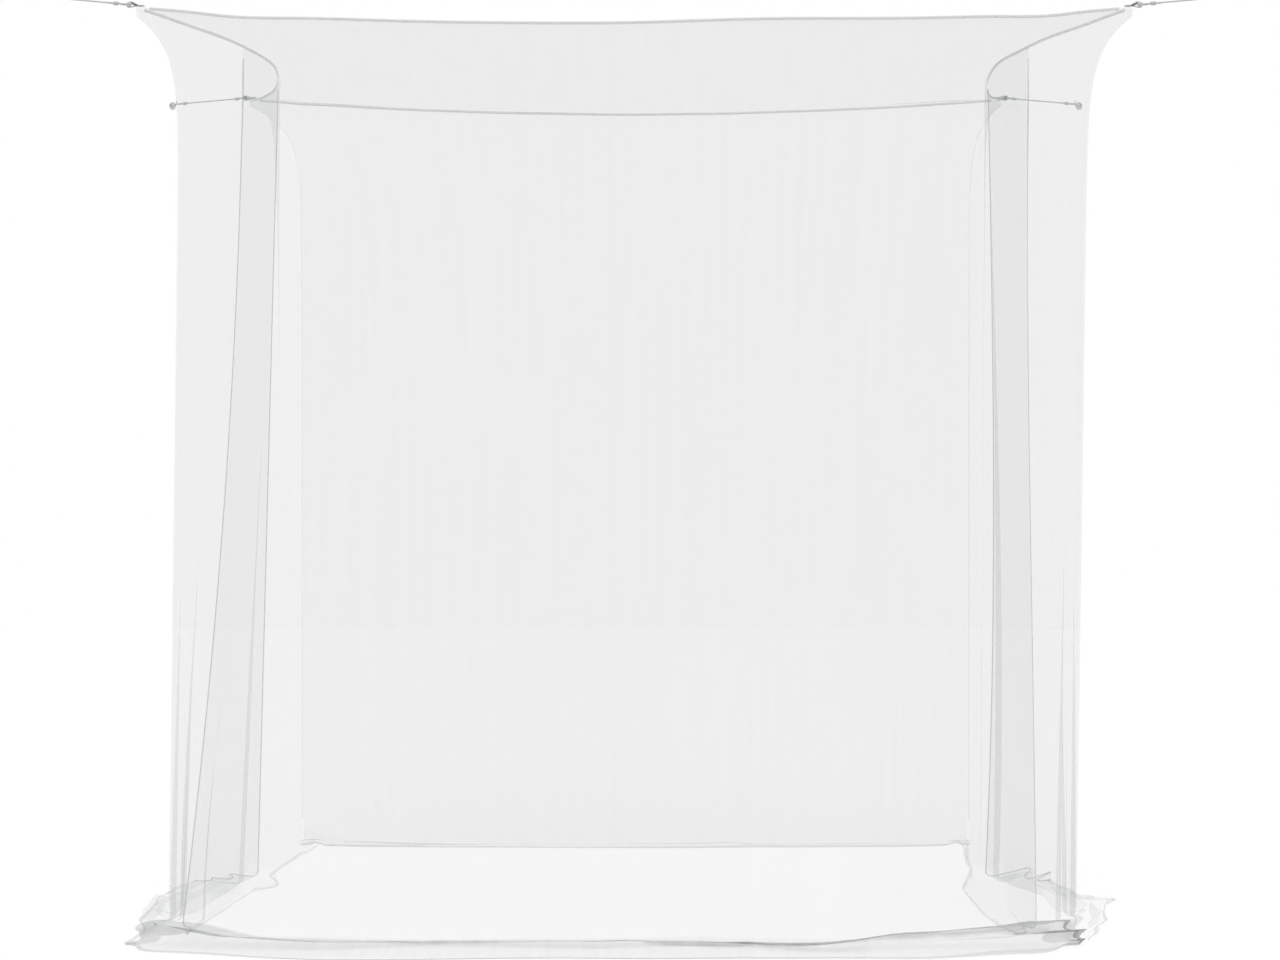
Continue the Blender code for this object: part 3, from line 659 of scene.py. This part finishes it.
def makeCords():
    plan = cordPlan
    for side, sideName in sideNames.items():
        for end, endName in endNames.items():
            place = f"{endName}_{sideName}"
            origin = roofCorner(side, end) + netMiddle
            out, across = cornerWays(side, end)
            reach = plan["frontReach"] if end < 0 else plan["backReach"]

            def at(along, aside, lift=0.0):
                return origin + out * along + across * aside + up * (plan["rise"] + lift)

            # one eye lies in the tab's loop, the other round the hook's bend
            wall = plan["tabReach"] + plan["tabLoop"] - plan["tabThickness"] / 2
            inner = plan["tabEye"] - plan["diameter"] / 2 - plan["clear"]
            tab = wall - plan["tabEye"] + math.sqrt(inner**2 - (plan["tabWidth"] / 2) ** 2)
            slope = math.sqrt(plan["hookBend"]**2 - (plan["hookBend"] - plan["rise"]) ** 2)
            beside = plan["hookWire"] + plan["diameter"] / 2 + plan["clear"]
            hook = reach - plan["hookStem"] - slope + beside * plan["hookBend"] / slope
            tabKnot = tab + plan["eyeLength"]
            hookKnot = hook - plan["eyeLength"] - plan["knotLength"]
            route = [(tab + a, b) for a, b in eyeRoute(plan["tabEye"])]
            route += standingPart(tabKnot + plan["knotLength"], hookKnot)
            route += [(hook - a, -b) for a, b in reversed(eyeRoute(plan["hookEye"]))]
            path = [at(a, b) for a, b in route]
            cord = makeTube(f"cord_{place}", path, plan["diameter"] / 2, cordMaterial)
            knots = [makeKnot(f"knot_{place}_{number}", at, start)
                     for number, start in enumerate((tabKnot, hookKnot), 1)]
            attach(cord, "net")
            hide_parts(f"corner_cord_{place}")
            at(tabKnot, 0.0)
            round(runLengths(path)[-1], 3)


# Three turns of the cord wound round its two strands, the ends tucked in
def makeKnot(name, at, start):
    plan, steps = cordPlan, 52
    points = []
    for step in range(steps + 1):
        share = step / steps
        angle = 2.0 * math.pi * plan["knotTurns"] * share
        along = start + plan["knotLength"] * between(*plan["knotSpan"], share)
        wide = plan["knotWide"] * (0.72 + 0.28 * smooth(min(share, 1.0 - share) / 0.08))
        flat = plan["knotFlat"] * wide
        points.append(at(along, wide * math.cos(angle), flat * math.sin(angle)))
    knot = makeTube(name, points, plan["knotStrand"], cordMaterial, sides=10)
    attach(knot, "net")
    return knot


makeCords()
print("cords made")


# Narrow S folds that start part way down and widen to the floor. Where the cloth turns
# back on itself it lies in three layers. Each pleat is its middle and half width along the
# sheet, how far it folds over, the row it begins at, its slant, and how far it stands out.
def pleatPush(pleats, place, row, along, out):
    push = Vector((0.0, 0.0, 0.0))
    for middle, half, depth, begin, slant, rise in pleats:
        opened = smooth((row - begin) / max(0.05, 1.0 - begin)) if row > begin else 0.0
        reach = half * (0.45 + 0.55 * opened)
        spot = (place - middle - slant * opened) / reach
        if abs(spot) < 1.0 and opened > 0.0:
            bend = math.sin(math.pi * spot) * (1.0 - spot * spot) ** 2
            lift = bend + 0.6 * (1.0 - spot * spot) ** 2
            push += (out * rise * lift - along * depth * bend) * opened
    return push


columnPlan = {"perPleat": 24, "narrowest": 0.0012}


# Where a sheet's columns of mesh stand along it: even, and closer together in the pleats
def shareList(count, pleats, length):
    shares = [n / count for n in range(count + 1)]
    extra = columnPlan["perPleat"]
    for middle, half, depth, begin, slant, rise in pleats:
        low, high = middle - half + min(0.0, slant), middle + half + max(0.0, slant)
        shares += [between(low, high, n / extra) / length for n in range(extra + 1)]
    shares = sorted(share for share in shares if 0.0 <= share <= 1.0)
    narrowest = columnPlan["narrowest"] / length
    kept = [0.0]
    for share in shares:
        if share - kept[-1] > narrowest and 1.0 - share > narrowest:
            kept.append(share)
    return kept + [1.0]


# the front and back walls; lists of pairs run from the left corner, 0, to the right one, 1
wallPlans = {
    -1: {
        "name": "frontWall", "nodes": ("front_wall", "front_wall_hem"),
        "reach": [(0.0, 0.12), (0.08, 0.26), (0.20, 0.345), (0.48, 0.34), (0.66, 0.33),
                  (0.80, 0.31), (0.88, 0.25), (0.95, 0.12), (1.0, 0.01)],
        "pile": [(0.0, 0.044), (0.04, 0.034), (0.12, 0.003), (0.20, 0.0), (0.64, 0.0),
                 (0.82, 0.014), (0.92, 0.032), (1.0, 0.045)],
        "pleats": [(0.068, 0.028, 0.015, 0.36, -0.040, 0.010),
                   (0.125, 0.014, 0.008, 0.62, -0.044, 0.005),
                   (1.935, 0.022, 0.016, 0.38, -0.004, 0.008)],
        "pool": {"turns": 2.4, "surplus": 0.34, "firstFold": 0.070, "seed": 3.0},
        "footPush": [(0.0, 0.0), (0.55, 0.0), (0.72, 0.13), (0.82, 0.02), (1.0, 0.0)],
        "foldDepth": 0.012, "folds": 4.5, "flat": (2.02, 2.35), "columns": 170,
    },
    1: {
        "name": "backWall", "nodes": ("back_wall", "back_wall_hem"),
        "reach": [(0.0, 0.006), (0.08, -0.030), (0.5, -0.050), (0.92, -0.030), (1.0, 0.006)],
        "pile": [(0.0, 0.006), (0.15, 0.003), (1.0, 0.004)], "pleats": [],
        "pool": {"turns": 1.2, "surplus": 0.08, "firstFold": 0.004, "seed": 31.0},
        "footPush": [(0.0, 0.0), (1.0, 0.0)],
        "foldDepth": 0.012, "folds": 4.5, "flat": (2.02, 2.10), "columns": 170,
    },
}


# The value of a list of (place, value) pairs at a place between them
def valueAt(pairs, place):
    for (before, low), (after, high) in zip(pairs, pairs[1:]):
        if place <= after:
            return between(low, high, smooth((place - before) / (after - before)))
    return pairs[-1][1]


def wallLines(end, plan):
    outward = Vector((0.0, end, 0.0))
    across = Vector((1.0, 0.0, 0.0))
    margin = netPlan["columnMargin"] / netPlan["roofWidth"]
    length = netPlan["roofWidth"]
    lines = []
    for part in shareList(plan["columns"], plan["pleats"], length):
        share = between(margin, 1.0 - margin, part)
        foot = between(footCorner(-1, end), footCorner(1, end), share)
        foot.y -= end * netPlan["footBow"] * hump(share)
        # near a corner the wall's foot spreads to that side as well
        spread = smooth(1.0 - (1.0 - share) / 0.22) - smooth(1.0 - share / 0.22)
        out = (outward + across * spread).normalized()
        edgeShare = 1.0 - abs(2.0 * share - 1.0)
        envelope = smooth(edgeShare / 0.12) * (1.0 - 0.75 * smooth(edgeShare / 0.7))
        wave = plan["foldDepth"] * envelope * math.sin(2.0 * math.pi * plan["folds"] * share)
        settle = between(netPlan["cornerSettle"], netPlan["middleSettle"], smooth(edgeShare / 0.5))
        reach = valueAt(plan["reach"], share)
        pile = valueAt(plan["pile"], share)
        footPush = valueAt(plan["footPush"], share)

        def fold(row, wave=wave, out=out, place=share * length, footPush=footPush):
            push = out * wave * row**1.2 + outward * footPush * row**3
            return push + pleatPush(plan["pleats"], place, row, across, outward)

        def weight(row, drop, settle=settle):
            return settled(drop, settle)

        top = endEdge(end, share) - up * netPlan["underRoof"]
        lines.append(clothLine(top, foot, out, fold, reach, pile, weight, plan["pool"]))
    return lines


# the side panels: the front one lies outside, the rear one inside. Lists of pairs run from
# the corner, 0, to the fold line, 1, and on to the free edge, 2; each side has its own.
panelPlans = {
    -1: {"word": "front", "edgeY": 0.00, "foldFootY": -0.70, "edgeFootY": 0.15, "flare": 1.0,
         "flat": (1.30, 2.10), "columns": 70, "flapColumns": 46,
         "reach": {-1: [(0.0, 0.11), (0.5, 0.08), (1.0, 0.12), (1.6, 0.16), (2.0, 0.14)],
                   1: [(0.0, 0.03), (0.5, 0.06), (1.0, 0.11), (1.28, 0.19), (1.5, 0.12),
                       (2.0, 0.10)]},
         "pile": {-1: [(0.0, 0.034), (1.0, 0.022), (2.0, 0.012)],
                  1: [(0.0, 0.045), (1.0, 0.030), (2.0, 0.014)]},
         "foldDepth": 0.006, "folds": 2.5, "flapFolds": 1.5,
         "pleats": [(0.24, 0.024, 0.012, 0.55, -0.03, 0.008),
                    (0.62, 0.020, 0.010, 0.68, 0.0, 0.006)],
         "edgePleats": {-1: [(0.60, 0.060, 0.055, 0.34, 0.02, 0.006)],
                        1: [(0.755, 0.092, 0.150, 0.0, 0.0, 0.006)]},
         "edgeDraw": {-1: 0.0, 1: 0.040},
         "pool": {"turns": 2.4, "surplus": 0.28, "firstFold": 0.022, "seed": 3.0}},
    1: {"word": "rear", "edgeY": -0.606, "foldFootY": 0.00, "edgeFootY": -0.93, "flare": 2.0,
        "flat": (1.75, 2.10), "columns": 96, "flapColumns": 46,
        "reach": {-1: [(0.0, 0.030), (0.7, 0.012), (0.94, 0.055), (1.1, 0.010), (2.0, 0.010)],
                  1: [(0.0, 0.010), (0.5, 0.035), (1.0, 0.085), (1.8, 0.100), (2.0, 0.080)]},
        "pile": {-1: [(0.0, 0.010), (2.0, 0.014)], 1: [(0.0, 0.010), (2.0, 0.016)]},
        "inside": {-1: 0.006, 1: 0.022}, "edgeDraw": {-1: 0.0, 1: -0.040},
        "foldDepth": 0.006, "folds": 2.5, "flapFolds": 1.5,
        "pleats": [], "edgePleats": {-1: [], 1: []},
        "pool": {"turns": 1.2, "surplus": 0.12, "firstFold": 0.012, "seed": 31.0}},
}


def sideFoot(side, y):
    share = (y + netPlan["frontFootY"]) / (netPlan["frontFootY"] + netPlan["backFootY"])
    point = between(footCorner(side, -1), footCorner(side, 1), share)
    point.x -= side * netPlan["footBow"] * hump(share)
    return point


# How far the rear panel lies inside the front one, 0 at the back corner to 1
def insideShare(y):
    return smooth((netPlan["backFootY"] - y) / (netPlan["backFootY"] - 0.1))


def panelTop(side, end, share):
    point = sideEdge(side, share)
    if end > 0:
        point.x -= side * netPlan["overlapTop"] * insideShare(point.y)
    return point


def panelFoot(side, end, y):
    point = sideFoot(side, y)
    if end > 0:
        point.x -= side * panelPlans[end]["inside"][side] * insideShare(y)
    return point


# facing is the side that the panel folds to, towards runs from its corner to its free edge
def panelLines(side, end, plan, facing, towards):
    cornerOut = cornerWays(side, end)[0]
    apexShare = (plan["edgeY"] + halfDepth) / netPlan["roofDepth"]
    margin = netPlan["columnMargin"]
    startShare = (0.0 if end < 0 else 1.0) - end * margin / netPlan["roofDepth"]
    apex = panelTop(side, end, apexShare)
    foldFoot = panelFoot(side, end, plan["foldFootY"])
    edgeFoot = panelFoot(side, end, plan["edgeFootY"])
    corner = footCorner(side, end)
    length = (apex - roofCorner(side, end)).length
    lines = []
    for share in shareList(plan["columns"], plan["pleats"], length):
        top = panelTop(side, end, between(startShare, apexShare, share))
        foot = between(corner, foldFoot, share)
        if share == 0.0:
            foot = foot + towards * margin
        out, reach = facing, valueAt(plan["reach"][side], share)
        if end < 0:
            out = between(cornerOut, facing, smooth(share / 0.8)).normalized()
        slant = 0.30 * smooth(share) ** 2
        out = (out + towards * slant).normalized() * math.sqrt(1.0 + slant**2)
        envelope = smooth(share / 0.15) * smooth((1.0 - share) / 0.35)
        wave = plan["foldDepth"] * envelope * math.sin(2.0 * math.pi * plan["folds"] * share)
        settle = between(netPlan["cornerSettle"], netPlan["middleSettle"], smooth(share / 0.5))
        straight = share**3 if end < 0 else smooth(share / 0.55)

        def weight(row, drop, settle=settle, straight=straight):
            return between(settled(drop, settle), row, straight)

        def fold(row, wave=wave, out=out, place=share * length):
            push = out * wave * row**1.2
            return push + pleatPush(plan["pleats"], place, row, towards, facing)

        lines.append(clothLine(top - up * netPlan["underRoof"], foot, out, fold, reach,
                               valueAt(plan["pile"][side], share), weight, plan["pool"]))
    width = (edgeFoot - foldFoot).length
    edgePleats = plan["edgePleats"][side]
    for share in shareList(plan["flapColumns"], edgePleats, width)[1:]:
        foot = between(foldFoot, edgeFoot, share)
        slant = 1.60 * (1.0 - smooth(share)) ** 2
        slant = between(slant, 0.30, smooth(1.0 - share / 0.15))
        out = facing + towards * slant
        wave = 2.0 * plan["foldDepth"] * smooth(share / 0.4) * (1.0 - share)
        wave *= math.sin(2.0 * math.pi * plan["flapFolds"] * share)
        flare = between(1.0, plan["flare"], share)
        top = apex + towards * netPlan["flapTop"] * share

        def edgeFold(row, wave=wave, place=share * width):
            drawn = plan["edgeDraw"][side] * (place / width) ** 2 * row**3
            push = facing * (wave * row**1.2 - drawn)
            return push + pleatPush(edgePleats, place, row, towards, facing)

        lines.append(clothLine(top - up * netPlan["underRoof"], foot, out, edgeFold,
                               valueAt(plan["reach"][side], 1.0 + share),
                               valueAt(plan["pile"][side], 1.0 + share),
                               lambda row, drop, flare=flare: row**flare, plan["pool"]))
    axisFoot = Vector((foldFoot.x, foldFoot.y, netPlan["axisFoot"]))
    axisTop = Vector((apex.x, apex.y, apex.z - netPlan["seamDrop"]))
    return lines, axisFoot, (axisTop - axisFoot).normalized()


tapePlan = {"width": 0.009, "overhang": 0.0005}


# A strip of tape along one line of the cloth, reaching towards the next line
def tapeStrip(name, edge, inner, finish):
    width = tapePlan["width"]
    rows = []
    for point, beside in zip(edge, inner):
        way = (beside - point).normalized()
        rows.append([point - way * tapePlan["overhang"], point + way * width * 0.5,
                     point + way * width])
    return makeSheet(name, rows, clothPlan["tape"], finish), [row[1] for row in rows]


stitchPlan = {"spacing": 0.0065, "length": 0.0042, "wide": 0.0007, "tall": 0.0019}


# Stitches set along the edges of a mesh by geometry nodes, turned to follow them
def stitchTree(plan):
    tree = bpy.data.node_groups.new("stitchRow", "GeometryNodeTree")
    face = tree.interface
    face.new_socket("Geometry", in_out="INPUT", socket_type="NodeSocketGeometry")
    for name, value in plan.items():
        socket = face.new_socket(name, in_out="INPUT", socket_type="NodeSocketFloat")
        socket.default_value = value
    face.new_socket("Geometry", in_out="OUTPUT", socket_type="NodeSocketGeometry")

    nodes = Nodes(tree)
    given = nodes.add("NodeGroupInput").outputs
    line = nodes.add("GeometryNodeMeshToCurve", {"Mesh": given["Geometry"]})
    rows = nodes.add("GeometryNodeResampleCurve",
                     {"Curve": line.outputs["Curve"], "Length": given["spacing"]}, mode="LENGTH")
    ball = nodes.add("GeometryNodeMeshUVSphere", {"Segments": 6, "Rings": 4, "Radius": 0.5})
    size = nodes.add("ShaderNodeCombineXYZ",
                     {"X": given["length"], "Y": given["wide"], "Z": given["tall"]})
    tangent = nodes.add("GeometryNodeInputTangent")
    turn = nodes.add("FunctionNodeAlignRotationToVector", {"Vector": tangent.outputs["Tangent"]},
                     axis="X")
    place = nodes.add("GeometryNodeInstanceOnPoints",
                      {"Points": rows.outputs["Curve"], "Instance": ball.outputs["Mesh"],
                       "Rotation": turn.outputs["Rotation"], "Scale": size.outputs["Vector"]})
    solid = nodes.add("GeometryNodeRealizeInstances", {"Geometry": place.outputs["Instances"]})
    colour = nodes.add("GeometryNodeSetMaterial",
                       {"Geometry": solid.outputs["Geometry"], "Material": thread})
    nodes.add("NodeGroupOutput", {"Geometry": colour.outputs["Geometry"]})
    return tree


stitchRow = stitchTree(stitchPlan)


def makeStitches(name, lines):
    points, edges = [], []
    for line in lines:
        first = len(points)
        points += [point + netMiddle for point in line]
        edges += [(first + n, first + n + 1) for n in range(len(line) - 1)]
    mesh = bpy.data.meshes.new(name)
    mesh.from_pydata(points, edges, [])
    stitches = bpy.data.objects.new(name, mesh)
    scene.collection.objects.link(stitches)
    modifier = stitches.modifiers.new("stitchRow", "NODES")
    modifier.node_group = stitchRow
    for item in stitchRow.interface.items_tree:
        if item.in_out == "INPUT" and item.name in stitchPlan:
            modifier[item.identifier] = stitchPlan[item.name]
    made = bakeModifiers(stitches)
    return made


# Bakes a piece's placement into its mesh
def bendAtFold(piece, axisFoot, axis, facing, towards):
    side = axis.cross(facing).normalized() * (netPlan["bendWidth"] / 2)
    if side.dot(towards) < 0:
        side = -side
    middle = axisFoot + netMiddle
    middle - side
    middle + side
    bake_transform(piece)


def makeWalls():
    for end, plan in wallPlans.items():
        grid = turned(wallLines(end, plan))
        wall = makeSheet(plan["name"], grid, clothPlan["thickness"], netting[plan["name"]])
        hem, middle = tapeStrip(plan["name"] + "Hem", grid[-1], grid[-4], rolledHem)
        stitches = makeStitches(plan["name"] + "Stitches", [middle])
        for piece in (wall, hem, stitches):
            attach(piece, "net")
        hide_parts(plan["nodes"][0])
        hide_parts(plan["nodes"][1])
        print(plan["name"], "area", round(areaOf(grid), 2))


def makePanels():
    for side, sideName in sideNames.items():
        for end, plan in panelPlans.items():
            facing = Vector((side if end < 0 else -side, 0.0, 0.0))
            towards = Vector((0.0, -end, 0.0))
            lines, axisFoot, axis = panelLines(side, end, plan, facing, towards)
            grid = turned(lines)
            name = sideName + plan["word"].capitalize() + "Panel"
            node = f"{sideName}_{plan['word']}"
            flap = f"{node}_flap"
            panel = makeSheet(name, grid, clothPlan["thickness"], netting[name])
            hem, hemLine = tapeStrip(name + "Hem", grid[-1], grid[-4], sideHem)
            # the binding starts under the roof's and reaches in over the last few columns
            edge = [row[-1] for row in grid[2:]]
            inner = [row[-7] for row in grid[2:]]
            binding, edgeLine = tapeStrip(name + "Binding", edge, inner, tape)
            stitches = makeStitches(name + "Stitches", [hemLine, edgeLine])
            for piece in (panel, hem, binding, stitches):
                bendAtFold(piece, axisFoot, axis, facing, towards)
            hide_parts(f"{node}_panel", flap)
            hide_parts(f"{node}_panel_hem", f"{flap}_hem")
            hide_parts(f"{flap}_binding")
            round(areaOf(grid), 2)
            print(name, "area", round(areaOf(grid), 2))


roofPlan = {
    "rows": 120, "margin": 0.0006, "lift": 0.0008, "flat": (2.00, 2.20),
    "crease": 0.0022, "creases": 7.0, "creaseRun": 0.42, "creaseStart": 0.15, "unevenness": 0.003,
    "bindingOut": 0.0012, "bindingTop": 0.0016, "bindingMiddle": 0.0014, "bindingFoot": 0.0044,
    "bindingThickness": 0.0012,
}


# Creases run out from each corner, where its cord pulls
def roofCrease(point):
    lift = 0.0
    for side in sideNames:
        for end in endNames:
            away = point - roofCorner(side, end)
            distance = math.hypot(away.x, away.y)
            angle = math.atan2(-end * away.y, -side * away.x)
            ray = math.sin(roofPlan["creases"] * 2.0 * angle + side + 2.0 * end)
            ray += 0.5 * math.sin(roofPlan["creases"] * 3.7 * angle)
            fade = math.exp(-distance / roofPlan["creaseRun"])
            lift += roofPlan["crease"] * ray * fade * smooth(distance / roofPlan["creaseStart"])
    return lift


def makeRoof():
    count = roofPlan["rows"]
    margin = roofPlan["margin"] / netPlan["roofWidth"]
    grid = []
    for row in range(count + 1):
        along = between(margin, 1.0 - margin, 1.0 - row / count)
        line = []
        for column in range(count + 1):
            across = between(margin, 1.0 - margin, column / count)
            point = roofPoint(across, along)
            inside = smooth(min(across, along, 1.0 - across, 1.0 - along) / 0.05)
            point.z += roofPlan["lift"] + roofCrease(point) * inside
            point.z += inside * roofPlan["unevenness"] * drift((point.x, point.y), 2.4, 41.0)
            line.append(point)
        grid.append(line)
    roof = makeSheet("roofSheet", grid, clothPlan["thickness"], netting["roofSheet"], flip=True)
    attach(roof, "net")
    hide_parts("roof_panel")
    round(areaOf(grid), 2)
    edges = {"front": (endEdge, -1, (0, -1, 0)), "back": (endEdge, 1, (0, 1, 0)),
             "left": (sideEdge, -1, (-1, 0, 0)), "right": (sideEdge, 1, (1, 0, 0))}
    middles = []
    for word, (edge, way, outward) in edges.items():
        line = [edge(way, n / 160) + Vector(outward) * roofPlan["bindingOut"]
                for n in range(2, 159)]
        rows = [[point + up * roofPlan["bindingTop"], point - up * roofPlan["bindingMiddle"],
                 point - up * roofPlan["bindingFoot"]] for point in line]
        binding = makeSheet(f"roofBinding{word.capitalize()}", rows,
                            roofPlan["bindingThickness"], tape)
        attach(binding, "net")
        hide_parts(f"roof_binding_{word}")
        middles.append([row[1] for row in rows])
    stitches = makeStitches("roofStitches", middles)
    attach(stitches, "net")
    print("roof area", round(areaOf(grid), 2))


makeWalls()
makePanels()
makeRoof()
print("cloth made")


# a thin seam tape down each corner
seamPlan = {"width": 0.005, "thickness": 0.0010, "settle": 0.060, "out": 0.0009,
            "reach": 0.1, "pile": 0.02}


def makeSeams():
    for side, sideName in sideNames.items():
        for end, endName in endNames.items():
            out, across = cornerWays(side, end)
            top = roofCorner(side, end) - up * netPlan["underRoof"]
            line = clothLine(top, footCorner(side, end), out, lambda row: Vector((0.0, 0.0, 0.0)),
                             seamPlan["reach"], seamPlan["pile"],
                             lambda row, drop: settled(drop, seamPlan["settle"]),
                             wallPlans[end]["pool"])
            line = [point + out * seamPlan["out"] for point in line[:len(hangRows)]]
            half = across * seamPlan["width"] / 2
            rows = [[point - half, point + half] for point in line]
            seam = makeSheet(f"cornerSeam{endName.capitalize()}{sideName.capitalize()}", rows,
                             seamPlan["thickness"], seamTape)
            stitches = makeStitches(seam.name + "Stitches", [line])
            for piece in (seam, stitches):
                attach(piece, "net")
            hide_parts(f"corner_seam_{endName}_{sideName}")


makeSeams()


# the solids' own tabs and hooks get their finishes
def finishNode(name, finish):
    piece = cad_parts[name]
    piece.data.materials.clear()
    piece.data.materials.append(finish)


for end in endNames.values():
    for side in sideNames.values():
        finishNode(f"corner_tab_{end}_{side}", tabMaterial)
        finishNode(f"wall_hook_{end}_{side}", nickel)
print("seams, tabs and hooks done")


# floor, lamps and white background
studioPlan = {
    "world": 0.62, "sun": 1.15, "sunTilt": (38.0, -14.0, 20.0), "sunWidth": 40.0,
    "shadowShare": 0.25, "glow": 1.085, "floorHalf": (12, 14), "floorHeight": -0.0002,
    "floorDark": (0.86, 0.86, 0.86), "floorLight": (0.89, 0.89, 0.89),
    "throughCloth": 96, "bounces": 8,
}
white = (1.0, 1.0, 1.0, 1.0)


def makeFloor(plan):
    mesh = bpy.data.meshes.new("studioFloor")
    (x, y), z = plan["floorHalf"], plan["floorHeight"]
    mesh.from_pydata([(-x, -y, z), (x, -y, z), (x, y, z), (-x, y, z)], [], [(0, 1, 2, 3)])
    floor = bpy.data.objects.new("studioFloor", mesh)
    scene.collection.objects.link(floor)
    finish = Finish("studioFloor")
    grain = finish.grain(finish.spot(), 3.0)
    finish.set(colour=finish.mixed(grain, plan["floorDark"], plan["floorLight"]), roughness=0.9,
               gloss=0.1)
    glow = finish.add("ShaderNodeEmission", {"Color": white, "Strength": plan["glow"]})
    finish.mixShaders(finish.seen() * (1.0 - plan["shadowShare"]), finish.shader, glow,
                      "Material Output")
    mesh.materials.append(finish.material)


def makeLight(plan):
    world = bpy.data.worlds.new("studio")
    world.use_nodes = True
    scene.world = world
    nodes = Nodes(world.node_tree)
    light = nodes.tree.nodes["Background"]
    nodes.join(white, light.inputs["Color"])
    nodes.join(plan["world"], light.inputs["Strength"])
    backdrop = nodes.add("ShaderNodeBackground", {"Color": white, "Strength": 1.0})
    nodes.mixShaders(nodes.seen(), light, backdrop, "World Output")
    sun = bpy.data.lights.new("softSun", "SUN")
    sun.energy = plan["sun"]
    sun.angle = math.radians(plan["sunWidth"])
    lamp = bpy.data.objects.new("softSun", sun)
    lamp.rotation_euler = tuple(math.radians(turn) for turn in plan["sunTilt"])
    scene.collection.objects.link(lamp)


makeFloor(studioPlan)
makeLight(studioPlan)
scene.view_settings.view_transform = "Standard"
scene.cycles.transparent_max_bounces = studioPlan["throughCloth"]
scene.cycles.max_bounces = studioPlan["bounces"]
print("studio made")
